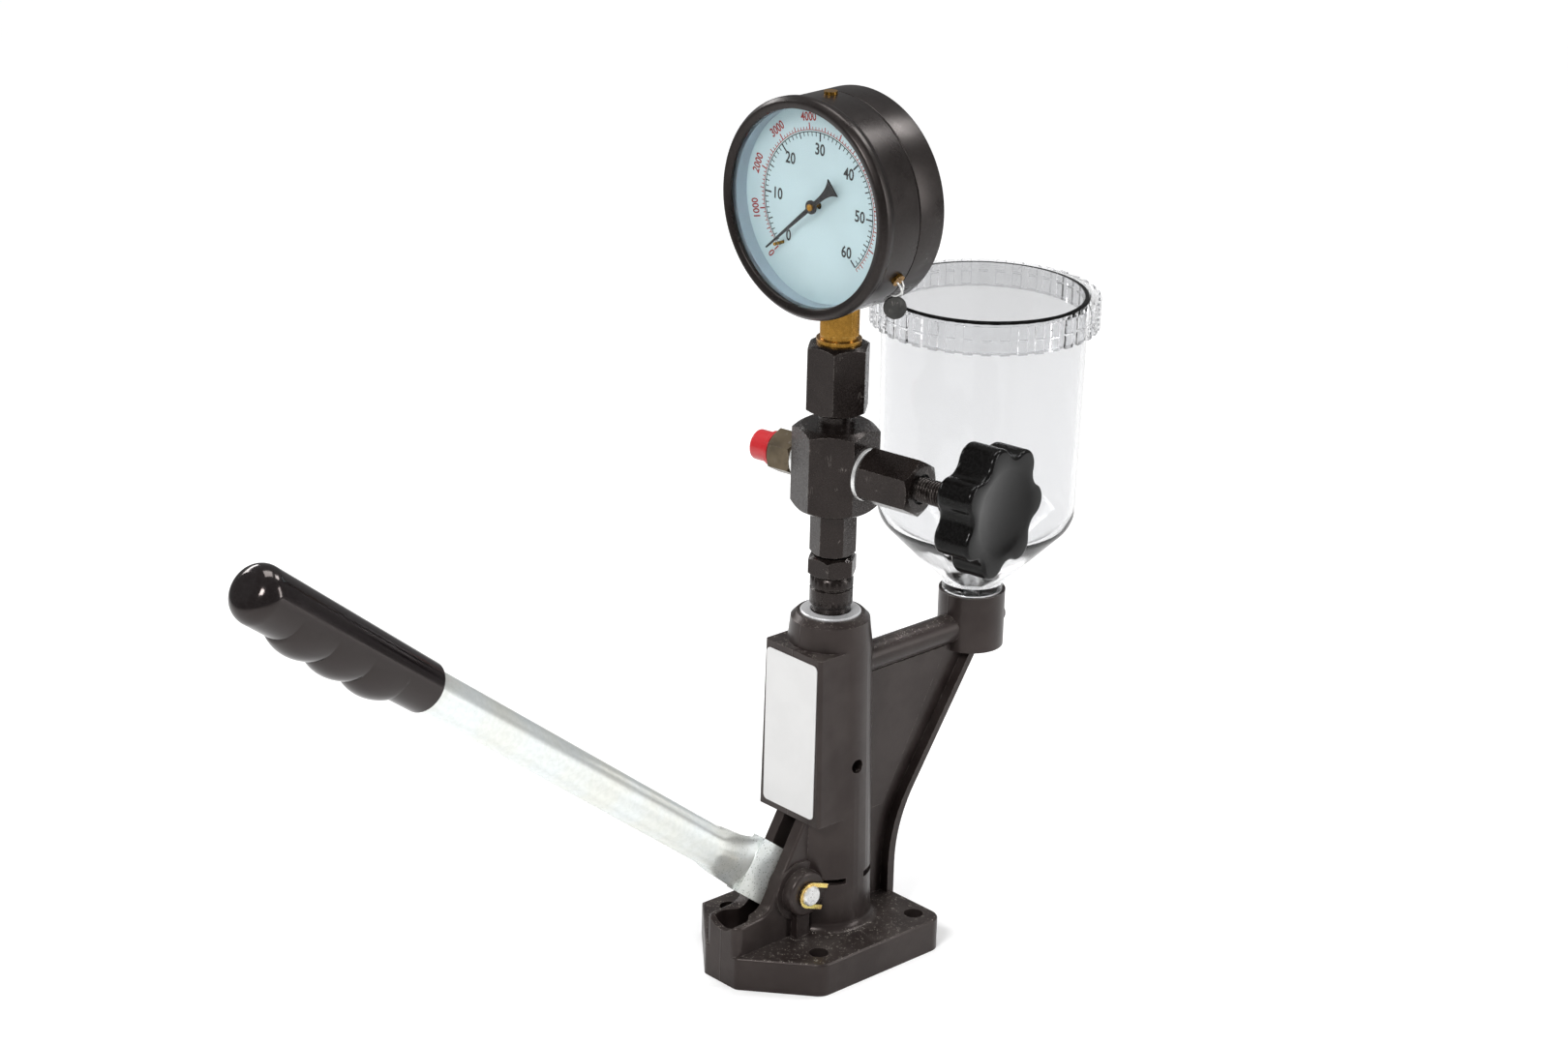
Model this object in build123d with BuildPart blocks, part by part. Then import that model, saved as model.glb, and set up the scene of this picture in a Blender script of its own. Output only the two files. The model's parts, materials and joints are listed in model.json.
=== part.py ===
from build123d import *
import math
import os

# Diesel injector tester: a hand pump in a cast housing, with a pressure gauge,
# a shut-off valve, an outlet for the injector's pipe and a clear fuel cup.
# Millimetres. The origin is where the column's axis meets the underside of the base,
# +Z is up, the lever points towards -X and the fuel cup stands on the +X side.

os.makedirs("parts", exist_ok=True)

# Shared gaps
fit_gap = 0.05
running_gap = 0.06
soft_gap = 0.3
cut_overrun = 3.0

# Base plate
base_thickness = 16.6
base_half_width = 43.5
base_back_x = 41.3
base_shoulder_x = -39.0
base_corner_radius = 8.0
base_edge_radius = 1.2
base_hole_spacing = 63.5
base_hole_radius = 4.75

# Nose and cheeks
nose_end_x = -66.0
nose_half_width = 11.0
nose_top_z = 31.5
nose_corner_radius = 4.0
nose_wall = 3.2
cheek_half_width = 9.8
cheek_foot_x = -46.0
cheek_foot_z = 33.0
cheek_top_x = -21.5
cheek_top_z = 76.0
cheek_foot_radius = 9.0
cheek_edge_radius = 1.4
lever_slot_half_width = 3.95
funnel_half_width = 8.2
funnel_start_x = -50.0
funnel_end_x = -58.0
lever_slot_floor_z = 20.0
saddle_z = 27.9
saddle_radius = 10.6

# Column
column_foot_radius = 23.75
column_shoulder_radius = 20.3
column_neck_height = 14.6
column_neck_radius = 18.9
column_top_z = 174.6
column_top_round = 2.6
column_foot_flare = 5.0
column_foot_round = 4.6
guide_bore_radius = 12.2
head_bore_step = 2.3
barrel_head_height = 34.0
window_z = 42.6
window_height = 3.0
window_sweep = 31.0
window_azimuths = (-120.0, -60.0, 60.0, 120.0)
vent_z = 101.0
vent_radius = 3.5

# Label box and its bare plate
label_box_proud = 1.7
label_box_bottom_z = 75.0
label_box_overlap = 0.5
label_box_bottom_half_width = 21.0
label_box_top_half_width = 19.2
label_box_corner_radius = 2.0
label_plate_thickness = 0.5
label_plate_height = 79.0
label_plate_width = 34.5
label_plate_corner_radius = 2.5

# Lever pin and its bosses
pivot_x = -26.0
pivot_z = 40.0
boss_radius = 11.4
boss_half_length = 17.5
boss_round = 1.5
boss_step_radius = 14.6
boss_step_half_length = 11.6
boss_rib_width = 8.0
boss_rib_half_length = 14.5
pin_radius = 5.0
pin_half_length = 21.0
pin_chamfer = 0.8
pin_groove_y = 18.6
pin_groove_depth = 0.7
clip_thickness = 1.0
clip_band = 2.1
clip_leg = 10.0
clip_tilt = -20.0

# Pump lever
lever_angle = 37.5
tube_radius = 10.0
tube_wall = 2.0
tube_offset = -2.0
tube_end_s = 377.0
press_start_s = 31.0
press_neck_s = 36.0
press_neck_width = 9.0
press_neck_height = 25.6
press_middle_s = 46.0
press_middle_width = 13.0
press_middle_height = 23.4
press_end_s = 62.0
tongue_thickness = 7.5
tongue_height = 28.4
tongue_offset = -0.6
tongue_heel_s = 8.0
tongue_corner_radius = 6.0
tongue_boss_radius = 10.0
tip_arm = 26.0
tip_radius = 5.5
tip_drop_angle = 14.0
arm_half_width = 4.0
grip_length = 114.5
grip_radius = 13.6
grip_mouth_radius = 12.0
grip_end_wall = 6.0
grip_end_round = 8.0
grip_mouth_round = 2.0
grip_bump_radius = 12.6
grip_notch_radius = 9.4
grip_bump_drop = 4.4
grip_bump_pitch = 22.6
grip_bump_count = 3
grip_bump_first_s = 37.0

# Tappet, plunger and barrel
tappet_foot_radius = 5.0
tappet_foot_height = 12.0
tappet_height = 12.0
tappet_recess = 4.0
plunger_radius = 4.0
plunger_foot_radius = 7.0
plunger_foot_height = 3.0
plunger_top_drop = 14.0
seat_plate_thickness = 2.0
seat_plate_gap = 0.6
spring_wire_radius = 1.1
spring_coil_radius = 8.8
spring_turns = 6.5
barrel_tail_height = 16.0
barrel_tail_gap = 0.8
barrel_top_drop = 24.6
duct_drop = 6.0
duct_radius = 3.0
barrel_port_radius = 1.5

# Delivery valve, its holder and the clamp ring
valve_seat_radius = 9.0
valve_seat_height = 6.0
delivery_stem_radius = 3.0
delivery_head_radius = 4.5
delivery_head_height = 3.0
delivery_lift = 1.2
delivery_chamber_radius = 5.5
delivery_chamber_drop = 4.6
delivery_wire_radius = 0.45
delivery_coil_radius = 3.4
delivery_turns = 4.5
clamp_ring_depth = 12.6
holder_thread_radius = 9.3
holder_bulge_radius = 10.3
holder_bulge_height = 3.4
holder_bulge_round = 1.6
holder_groove_rise = 12.9
holder_groove_radius = 9.5
holder_groove_height = 1.4
holder_hex_rise = 18.9
holder_hex_height = 9.8
holder_hex_flats = 21.0
holder_hex_azimuth = 36.4
holder_stem_radius = 7.0
passage_radius = 1.5
clamp_ring_proud = 1.0
ring_chamfer = 0.5
hex_chamfer_share = 0.9
hex_chamfer_angle = 30.0

# Union nut and cross block
union_gap = 0.5
union_height = 22.8
union_hex_flats = 19.0
union_hex_azimuth = 12.3
block_height = 41.4
block_flats = 36.0
block_turn = -80.0
block_socket_depth = 8.0
head_axis_height = 20.8
port_bore_radius = 7.0
port_bore_depth = 9.0

# Shut-off valve, measured from the column's axis along the valve
valve_washer_radius = 12.4
valve_washer_thickness = 1.7
valve_hex_flats = 24.0
valve_hex_reach = 31.3
washer_chamfer = 0.3
packing_depth = 8.0
packing_length = 7.0
packing_bore_radius = 7.2
spindle_radius = 5.9
spindle_inner_reach = 12.0
needle_radius = 2.6
needle_cone = 3.0
collar_radius = 8.4
collar_reach = 45.5
knob_boss_reach = 52.0
knob_boss_radius = 16.0
knob_reach = 58.0
knob_thickness = 19.0
knob_lobes = 7
knob_radius = 31.5
knob_lobe_radius = 7.8
knob_valley_floor = 25.7
knob_clock = 10.0
knob_round = 1.6
knob_back_round = 2.6

# Outlet, measured from the column's axis on the other side
outlet_washer_radius = 10.0
outlet_washer_thickness = 1.5
outlet_hex_flats = 19.0
outlet_hex_reach = 15.5
outlet_thread_radius = 6.0
outlet_thread_reach = 25.0
outlet_bore_radius = 2.0
cap_start_reach = 16.2
cap_end_reach = 27.3
cap_radius = 7.3
cap_rim_radius = 8.4
cap_rim_height = 2.0
cap_round = 1.2

# Gauge coupling and brass stem
neck_radius = 8.65
coupling_neck_height = 6.4
coupling_height = 33.5
coupling_flats = 27.0
coupling_azimuth = 38.7
nipple_depth = 7.5
nipple_rise = 9.6
stem_thread_radius = 7.0
stem_thread_length = 17.9
stem_flange_radius = 10.6
stem_flange_height = 2.2
stem_collar_height = 2.6
stem_square = 18.0
stem_turned_radius = 10.5
stem_square_turn = 45.0
stem_square_height = 13.1
stem_gate_height = 8.0
seal_washer_thickness = 1.5

# Gauge: depths run forwards from the column's axis towards the glass
gauge_turn = 2.7
case_radius = 50.0
case_wall = 2.0
case_back_depth = -15.0
case_seam_depth = 3.0
case_spigot_step = 2.1
bezel_bead_height = 1.2
bezel_bead_depth = 21.0
bezel_front_depth = 28.0
bezel_lip = 3.0
bezel_window_margin = 4.5
bezel_round = 2.4
glass_thickness = 2.4
dial_front_depth = 16.0
dial_thickness = 0.8
dial_hole_radius = 1.9
pointer_depth = 20.4
pointer_thickness = 0.7
pointer_length = 37.0
pointer_tail = 17.5
pointer_half_width = 1.1
pointer_tip_half_width = 0.35
pointer_tail_half_width = 4.6
pointer_neck = 4.0
pointer_hub_radius = 3.2
pointer_sweep = 270.0
pointer_rest_angle = 222.0
stop_radius = 0.8
stop_distance = 30.5
stop_lead_angle = 3.6

# Gauge works
bourdon_radius = 33.0
bourdon_height = 8.0
bourdon_thickness = 3.2
bourdon_depth = -4.0
bourdon_tip_angle = 195.0
socket_block_top = -24.0
socket_block_width = 16.4
socket_block_depth = 12.0
plate_gap = 4.4
plate_thickness = 1.2
plate_half_width = 9.0
plate_bottom = -33.0
plate_top = 5.0
pillar_radius = 1.6
pinion_teeth = 12
gear_module = 0.42
gear_ratio = 10.0
tooth_tip_share = 0.19
tooth_root_share = 0.57
root_depth_share = 1.25
arbor_radius = 0.9
sector_hub_radius = 3.0
sector_rim = 3.0
sector_arm = 3.2
sector_thickness = 1.2
ear_distance = 8.0
ear_radius = 2.0
sector_spare = 2
link_half_width = 1.3
link_thickness = 1.0
link_pin_radius = 0.8
link_pin_gap = 0.35
tip_post_radius = 1.9

# Gauge screws, seal wire and seal disc
case_screw_radius = 2.0
case_screw_head_radius = 3.1
case_screw_head_height = 1.6
case_screw_length = 7.0
case_screw_angles = (91.0, -31.0)
case_screw_depth = 9.5
wire_radius = 0.45
seal_disc_radius = 5.3
seal_disc_thickness = 2.2
seal_disc_gap = 7.9
seal_disc_angle = -42.9
seal_disc_turn = -134.0
wire_loop_width = 3.2
wire_bow = 3.0

# Bracket and cup socket
cup_x = 96.2
socket_radius = 16.4
socket_depth = 11.0
socket_rise = 17.7
socket_bore_radius = 12.9
socket_floor_rise = 4.5
socket_edge_radius = 1.0
rib_radius = 7.2
web_thickness = 5.0
panel_thickness = 6.4
panel_margin = 11.0
panel_heel_margin = 5.5
panel_toe_margin = 16.5
flange_half_width = 7.5
flange_thickness = 4.2
bracket_heel_reach = 0.5
bracket_knee_z = 52.8
bracket_tip_inset = 2.9
bracket_tip_drop = 1.7
bracket_knee_radius = 70.0
plug_radius = 3.6
plug_head_radius = 5.4
plug_head_height = 4.0
plug_depth = 9.0

# Cup and lid
cup_wall = 2.2
cup_top_radius = 49.5
cup_cone_radius = 48.0
cup_cone_height = 34.0
cup_cone_round = 14.0
cup_neck_radius = 14.9
cup_neck_rise = 17.5
cup_spigot_radius = 12.5
cup_drain_radius = 4.0
cup_wall_height = 111.6
lid_thickness = 2.7
lid_skirt_height = 15.3
lid_shoulder_drop = 1.5
lid_ring_width = 4.0
lid_tooth_height = 1.6
lid_teeth = 40
lid_rows = 2
lid_row_gap = 1.0
lid_tooth_fill_share = 0.55
o_ring_section = 0.85
screen_thickness = 0.8

# Places that follow from the sizes above
column_shoulder_z = column_top_z - column_neck_height
label_box_top_z = column_shoulder_z + label_box_overlap
holder_flange_top_z = column_top_z - clamp_ring_depth
ring_top_z = column_top_z + clamp_ring_proud
holder_bulge_z = column_top_z + holder_bulge_height
holder_groove_z = column_top_z + holder_groove_rise
holder_hex_z = column_top_z + holder_hex_rise
holder_hex_top_z = holder_hex_z + holder_hex_height
union_bottom_z = holder_hex_top_z + union_gap
block_bottom_z = union_bottom_z + union_height
block_top_z = block_bottom_z + block_height
head_axis_z = block_bottom_z + head_axis_height
coupling_bottom_z = block_top_z + coupling_neck_height
coupling_top_z = coupling_bottom_z + coupling_height
nipple_bottom_z = block_top_z - nipple_depth
nipple_top_z = coupling_bottom_z + nipple_rise
stem_bottom_z = coupling_top_z - stem_thread_length
barrel_top_z = column_top_z - barrel_top_drop
head_bore_floor_z = barrel_top_z - barrel_head_height
barrel_bottom_z = head_bore_floor_z - barrel_tail_height
plunger_top_z = barrel_top_z - plunger_top_drop
duct_z = barrel_top_z - duct_drop
delivery_chamber_top_z = column_top_z - delivery_chamber_drop
socket_bottom_z = duct_z - socket_depth
socket_floor_z = duct_z + socket_floor_rise
socket_top_z = duct_z + socket_rise
bracket_tip_z = socket_bottom_z - bracket_tip_drop
bracket_tip_x = cup_x - bracket_tip_inset
bracket_heel_x = base_back_x + bracket_heel_reach
cup_neck_z = socket_floor_z + cup_neck_rise
cup_cone_z = cup_neck_z + cup_cone_height
cup_rim_z = cup_cone_z + cup_wall_height
head_bore_radius = guide_bore_radius + head_bore_step
barrel_lower_radius = guide_bore_radius - barrel_tail_gap
seat_plate_radius = guide_bore_radius - seat_plate_gap
pin_groove_radius = pin_radius - pin_groove_depth
block_face = block_flats / 2
valve_hex_end = block_face + valve_hex_reach
spindle_inner_end = block_face + spindle_inner_reach
collar_start = block_face + collar_reach
knob_boss_start = block_face + knob_boss_reach
knob_start = block_face + knob_reach
outlet_hex_end = block_face + outlet_hex_reach
outlet_thread_end = block_face + outlet_thread_reach
cap_start = block_face + cap_start_reach
cap_end = block_face + cap_end_reach
case_spigot_radius = case_radius - case_spigot_step
bezel_bead_radius = case_radius + bezel_bead_height
bezel_window_radius = case_radius - bezel_window_margin
pivot = Vector(pivot_x, 0, pivot_z)
lever_cos = math.cos(math.radians(lever_angle))
lever_sin = math.sin(math.radians(lever_angle))
lever_side = Plane(origin=pivot, x_dir=(-lever_cos, 0, lever_sin), z_dir=(0, 1, 0))
tip_z = pivot_z - tip_arm * math.sin(math.radians(tip_drop_angle))
tappet_bottom_z = tip_z + tip_radius + soft_gap
tappet_top_z = tappet_bottom_z + tappet_foot_height + tappet_height
plunger_bottom_z = tappet_top_z - tappet_recess
spring_bottom_z = tappet_top_z + seat_plate_thickness
column_radius_behind_label = column_foot_radius - (column_foot_radius - column_shoulder_radius) * (
    label_box_bottom_z - base_thickness
) / (column_shoulder_z - base_thickness)
label_box_front_x = -(column_radius_behind_label + label_box_proud)
valve_seat_top_z = barrel_top_z + valve_seat_height
delivery_head_top_z = valve_seat_top_z + delivery_head_height
holder_stem_top_z = block_bottom_z + block_socket_depth
stem_square_z = coupling_top_z + stem_flange_height + stem_collar_height
case_bottom_z = stem_square_z + stem_square_height
gauge_centre_z = case_bottom_z + case_radius
lid_top_z = cup_rim_z + lid_thickness
lid_shoulder_z = lid_top_z - lid_shoulder_drop
lid_ring_bottom_z = lid_top_z - lid_skirt_height
gauge_forwards = Vector(-math.cos(math.radians(gauge_turn)), -math.sin(math.radians(gauge_turn)), 0)
gauge_right = Vector(math.sin(math.radians(gauge_turn)), -math.cos(math.radians(gauge_turn)), 0)
gauge_middle = Vector(0, 0, gauge_centre_z)
gauge_axis = Axis(gauge_middle, gauge_forwards)
gauge_section = Plane(origin=gauge_middle, x_dir=gauge_right, z_dir=(0, 0, -1))


def disc_at(plane, outer, inner, length, mode=Mode.ADD):
    """A disc or a tube that stands on a plane, or hangs below it where length is negative."""
    side = Align.MIN if length > 0 else Align.MAX
    with Locations(plane.location):
        Cylinder(outer, abs(length), align=(Align.CENTER, Align.CENTER, side), mode=mode)
        if inner:
            Cylinder(inner, abs(length), align=(Align.CENTER, Align.CENTER, side), mode=Mode.SUBTRACT)


def ring(outer, inner, bottom, top, mode=Mode.ADD):
    """A disc or a tube round the column's axis, between two levels."""
    disc_at(Plane.XY.offset(bottom), outer, inner, top - bottom, mode)


def flats_radius(flats):
    """Corner radius of a hexagon, from the size across its flats."""
    return flats / math.sqrt(3)


def hex_bar(plane, flats, turn, length):
    """A hexagonal bar along the plane's normal, both ends turned to a shallow cone.

    turn is the angle of one corner, from the plane's x direction.
    """
    corner = flats_radius(flats)
    end = flats * hex_chamfer_share / 2
    slope = (corner - end) * math.tan(math.radians(hex_chamfer_angle))
    side = Plane(origin=plane.origin, x_dir=plane.x_dir, z_dir=-plane.y_dir)
    with BuildPart() as bar:
        with BuildSketch(plane):
            RegularPolygon(corner, 6, rotation=turn)
        extrude(amount=length)
        with BuildSketch(side):
            with BuildLine():
                Polyline(
                    (0, 0),
                    (end, 0),
                    (corner, slope),
                    (corner, length - slope),
                    (end, length),
                    (0, length),
                    close=True,
                )
            make_face()
        revolve(axis=Axis(plane.origin, plane.z_dir), mode=Mode.INTERSECT)
    return bar.part


def along_block(distance, turn=block_turn):
    """Plane square to the valve's axis, at a distance from the column's axis."""
    direction = Vector(math.cos(math.radians(turn)), math.sin(math.radians(turn)), 0)
    centre = direction * distance + Vector(0, 0, head_axis_z)
    return Plane(origin=centre, x_dir=(0, 0, 1), z_dir=direction)


def polar(radius, angle):
    """A point of the gauge's plane, from its radius and its angle."""
    return (radius * math.cos(math.radians(angle)), radius * math.sin(math.radians(angle)))


def gauge_plane(depth, turn=0, centre=(0, 0)):
    """Plane parallel to the dial; unturned, its x runs to the reader's right and its y up."""
    side, rise = polar(1, turn)
    across, up = centre
    return Plane(
        origin=gauge_middle + gauge_forwards * depth + gauge_right * across + Vector(0, 0, up),
        x_dir=gauge_right * side + Vector(0, 0, rise),
        z_dir=gauge_forwards,
    )


def gauge_turning(profile):
    """A shell turned about the gauge's axis; each point of the profile is a radius and a depth."""
    with BuildPart() as turning:
        with BuildSketch(gauge_section):
            with BuildLine():
                Polyline(*profile, close=True)
            make_face()
        revolve(axis=gauge_axis)
    return turning.part


def gauge_disc(start, end, outer, inner=0, centre=(0, 0)):
    """A disc or a tube along the gauge's axis between two depths, as a piece by itself."""
    with BuildPart() as disc:
        with BuildSketch(gauge_plane(start, 0, centre)):
            Circle(outer)
            if inner:
                Circle(inner, mode=Mode.SUBTRACT)
        extrude(amount=end - start)
    return disc.part


def bracket_edge(inset):
    """Corners of the bracket's lower edge, from the cup socket down to the base."""
    return (
        (bracket_tip_x - inset, bracket_tip_z),
        (bracket_heel_x - inset, bracket_knee_z),
        (bracket_heel_x - inset, 0),
    )


# Nose and cheeks, one profile seen from the side, with rounded outer edges
with BuildPart() as cheeks:
    with BuildSketch(Plane.XZ):
        with BuildLine():
            Polyline(
                (0, 0),
                (nose_end_x, 0),
                (nose_end_x, nose_top_z),
                (cheek_foot_x, cheek_foot_z),
                (cheek_top_x, cheek_top_z),
                (0, cheek_top_z),
                close=True,
            )
        make_face()
        fillet(vertices().sort_by_distance((cheek_foot_x, cheek_foot_z))[0], cheek_foot_radius)
    extrude(amount=nose_half_width, both=True)
    with BuildSketch():
        with BuildLine():
            Polyline(
                (0, cheek_half_width),
                (nose_end_x, nose_half_width),
                (nose_end_x, -nose_half_width),
                (0, -cheek_half_width),
                close=True,
            )
        make_face()
    extrude(amount=cheek_top_z, mode=Mode.INTERSECT)
    fillet(edges().filter_by(Axis.Z).group_by(Axis.X)[0], nose_corner_radius)
    fillet(
        [edge for edge in edges() if edge.center().Z > nose_top_z - fit_gap
         and edge.center().X < cheek_top_x - fit_gap],
        cheek_edge_radius,
    )

# Boss for the lever pin, stepped, right across the cheeks and round at both ends
with BuildPart() as pin_boss:
    with BuildSketch(Plane.XZ):
        with Locations((pivot_x, pivot_z)):
            Circle(boss_radius)
    extrude(amount=boss_half_length, both=True)
    fillet(edges().filter_by(GeomType.CIRCLE), boss_round)
    with BuildSketch(Plane.XZ):
        with Locations((pivot_x, pivot_z)):
            Circle(boss_step_radius)
    extrude(amount=boss_step_half_length, both=True)

# Housing: base plate, column, label box, nose, cheeks, bosses, duct rib, web and cup socket
with BuildPart() as housing:
    with BuildSketch():
        with BuildLine():
            Polyline(
                (base_back_x, base_half_width),
                (base_shoulder_x, base_half_width),
                (nose_end_x, nose_half_width),
                (nose_end_x, -nose_half_width),
                (base_shoulder_x, -base_half_width),
                (base_back_x, -base_half_width),
                close=True,
            )
        make_face()
        fillet(vertices().group_by(Axis.X)[-1], base_corner_radius)
        fillet(vertices().group_by(Axis.X)[0], nose_corner_radius)
    extrude(amount=base_thickness)
    shoulder_edges = edges().filter_by(Axis.Z).group_by(Axis.Y)
    fillet([shoulder_edges[0][0], shoulder_edges[-1][0]], base_corner_radius)
    fillet(faces().sort_by(Axis.Z)[-1].edges(), base_edge_radius)

    # Column, turned about its axis
    with BuildSketch(Plane.XZ):
        with BuildLine():
            Polyline(
                (0, 0),
                (column_foot_radius + column_foot_flare, 0),
                (column_foot_radius + column_foot_flare, base_thickness),
                (column_foot_radius, base_thickness),
                (column_shoulder_radius, column_shoulder_z),
                (column_neck_radius, column_top_z - column_top_round),
                (column_neck_radius - column_top_round, column_top_z),
                (0, column_top_z),
                close=True,
            )
        make_face()
        fillet(
            vertices().sort_by_distance((column_foot_radius, base_thickness))[0],
            column_foot_round,
        )
    revolve(axis=Axis.Z)

    # Label box, drafted from its foot to its top
    with BuildSketch(Plane.XY.offset(label_box_bottom_z)):
        with Locations((label_box_front_x / 2, 0)):
            Rectangle(-label_box_front_x, 2 * label_box_bottom_half_width)
        fillet(vertices().group_by(Axis.X)[0], label_box_corner_radius)
    with BuildSketch(Plane.XY.offset(label_box_top_z)):
        with Locations((label_box_front_x / 2, 0)):
            Rectangle(-label_box_front_x, 2 * label_box_top_half_width)
        fillet(vertices().group_by(Axis.X)[0], label_box_corner_radius)
    loft()

    # Nose, cheeks and the bosses for the lever pin, each boss on a short rib
    add(cheeks.part)
    add(pin_boss.part)
    with BuildSketch(Plane.XZ):
        with Locations((pivot_x, pivot_z / 2)):
            Rectangle(boss_rib_width, pivot_z)
    extrude(amount=boss_rib_half_length, both=True)

    # Duct rib, cup socket, web and edge flange
    with BuildSketch(Plane.YZ):
        with Locations((0, duct_z)):
            Circle(rib_radius)
    extrude(amount=cup_x)
    with BuildSketch(Plane.XY.offset(socket_bottom_z)):
        with Locations((cup_x, 0)):
            Circle(socket_radius)
    extrude(amount=socket_top_z - socket_bottom_z)
    fillet(edges().filter_by(GeomType.CIRCLE).group_by(Axis.Z)[-1], socket_edge_radius)
    with BuildSketch(Plane.XZ):
        with BuildLine():
            FilletPolyline(*bracket_edge(0), radius=bracket_knee_radius)
            Polyline(
                (bracket_heel_x, 0),
                (0, 0),
                (0, duct_z),
                (bracket_tip_x, duct_z),
                (bracket_tip_x, bracket_tip_z),
            )
        make_face()
    extrude(amount=web_thickness / 2, both=True)
    with BuildSketch(Plane.XZ):
        with BuildLine():
            FilletPolyline(*bracket_edge(0), radius=bracket_knee_radius)
            FilletPolyline(*bracket_edge(flange_thickness), radius=bracket_knee_radius)
            Line((bracket_tip_x, bracket_tip_z), (bracket_tip_x - flange_thickness, bracket_tip_z))
            Line((bracket_heel_x, 0), (bracket_heel_x - flange_thickness, 0))
        make_face()
    extrude(amount=flange_half_width, both=True)
    with BuildSketch(Plane.XZ):
        with BuildLine():
            Polyline(
                (0, bracket_knee_z + panel_margin),
                (bracket_heel_x - panel_heel_margin, bracket_knee_z + panel_margin),
                (bracket_tip_x - panel_toe_margin, duct_z - rib_radius),
                (0, duct_z - rib_radius),
                close=True,
            )
        make_face()
    extrude(amount=panel_thickness / 2, both=True)

    # Bores of the pump and the slot for the lever
    with BuildSketch(Plane.XY.offset(lever_slot_floor_z)):
        Circle(guide_bore_radius)
    extrude(amount=head_bore_floor_z - lever_slot_floor_z, mode=Mode.SUBTRACT)
    with BuildSketch(Plane.XY.offset(head_bore_floor_z)):
        Circle(head_bore_radius)
    extrude(amount=column_top_z + cut_overrun - head_bore_floor_z, mode=Mode.SUBTRACT)
    with BuildSketch(Plane.XY.offset(lever_slot_floor_z)):
        with BuildLine():
            Line((0, lever_slot_half_width), (funnel_start_x, lever_slot_half_width))
            Spline(
                (funnel_start_x, lever_slot_half_width),
                (funnel_end_x, funnel_half_width),
                tangents=((-1, 0), (-1, 0)),
            )
            Line((funnel_end_x, funnel_half_width), (nose_end_x + nose_wall, funnel_half_width))
            Line((nose_end_x + nose_wall, funnel_half_width), (nose_end_x + nose_wall, 0))
            mirror(about=Plane.XZ)
            Line((0, lever_slot_half_width), (0, -lever_slot_half_width))
        make_face()
    extrude(amount=label_box_bottom_z - lever_slot_floor_z, mode=Mode.SUBTRACT)
    with BuildSketch(Plane.YZ.offset(nose_end_x - cut_overrun)):
        with Locations((0, saddle_z + saddle_radius)):
            Circle(saddle_radius)
    extrude(amount=nose_wall + 2 * cut_overrun, mode=Mode.SUBTRACT)

    # Pin hole, base holes, vent, windows, duct and socket
    with BuildSketch(Plane.XZ):
        with Locations((pivot_x, pivot_z)):
            Circle(pin_radius + fit_gap)
    extrude(amount=boss_half_length + cut_overrun, both=True, mode=Mode.SUBTRACT)
    with BuildSketch():
        with GridLocations(base_hole_spacing, base_hole_spacing, 2, 2):
            Circle(base_hole_radius)
    extrude(amount=base_thickness + cut_overrun, mode=Mode.SUBTRACT)
    with BuildSketch(Plane.XZ):
        with Locations((0, vent_z)):
            Circle(vent_radius)
    extrude(amount=column_foot_radius + cut_overrun, mode=Mode.SUBTRACT)
    for azimuth in window_azimuths:
        start = math.radians(azimuth - window_sweep / 2)
        with BuildSketch(Plane(origin=(0, 0, 0), x_dir=(math.cos(start), math.sin(start), 0),
                               z_dir=(math.sin(start), -math.cos(start), 0))):
            with Locations(((guide_bore_radius + column_foot_radius) / 2, window_z)):
                Rectangle(column_foot_radius - guide_bore_radius + 2 * fit_gap, window_height)
        revolve(axis=Axis.Z, revolution_arc=window_sweep, mode=Mode.SUBTRACT)
    with BuildSketch(Plane.YZ):
        with Locations((0, duct_z)):
            Circle(duct_radius)
    extrude(amount=cup_x, mode=Mode.SUBTRACT)
    with BuildSketch(Plane.YZ.offset(cup_x)):
        with Locations((0, duct_z)):
            Circle(plug_radius + fit_gap)
    extrude(amount=socket_radius + cut_overrun, mode=Mode.SUBTRACT)
    with BuildSketch(Plane.XY.offset(duct_z)):
        with Locations((cup_x, 0)):
            Circle(duct_radius)
    extrude(amount=socket_top_z - duct_z, mode=Mode.SUBTRACT)
    with BuildSketch(Plane.XY.offset(socket_floor_z)):
        with Locations((cup_x, 0)):
            Circle(socket_bore_radius)
    extrude(amount=socket_top_z + cut_overrun - socket_floor_z, mode=Mode.SUBTRACT)
housing.part.label = "housing"
export_step(housing.part, "parts/housing.step")

# Label plate: thin, flat and bare, stuck to the label box
label_plane = Plane(
    origin=(label_box_front_x, 0, (label_box_bottom_z + label_box_top_z) / 2),
    x_dir=(0, -1, 0),
    z_dir=(-1, 0, 0),
)
with BuildPart() as label_plate:
    with BuildSketch(label_plane):
        RectangleRounded(label_plate_width, label_plate_height, label_plate_corner_radius)
    extrude(amount=label_plate_thickness)
label_plate.part.label = "label_plate"
export_step(label_plate.part, "parts/label_plate.step")

# Lever pin with a groove for a clip at each end
with BuildPart() as pivot_pin:
    with BuildSketch(Plane.XZ.offset(-pin_half_length)):
        with Locations((pivot_x, pivot_z)):
            Circle(pin_radius)
    extrude(amount=2 * pin_half_length)
    chamfer(edges().filter_by(GeomType.CIRCLE), pin_chamfer)
    for side in (-1, 1):
        with BuildSketch(Plane.XZ.offset(side * pin_groove_y - clip_thickness / 2 - fit_gap)):
            with Locations((pivot_x, pivot_z)):
                Circle(pin_radius + cut_overrun)
                Circle(pin_groove_radius, mode=Mode.SUBTRACT)
        extrude(amount=clip_thickness + 2 * fit_gap, mode=Mode.SUBTRACT)
pivot_pin.part.label = "pivot_pin"
export_step(pivot_pin.part, "parts/pivot_pin.step")

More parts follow.
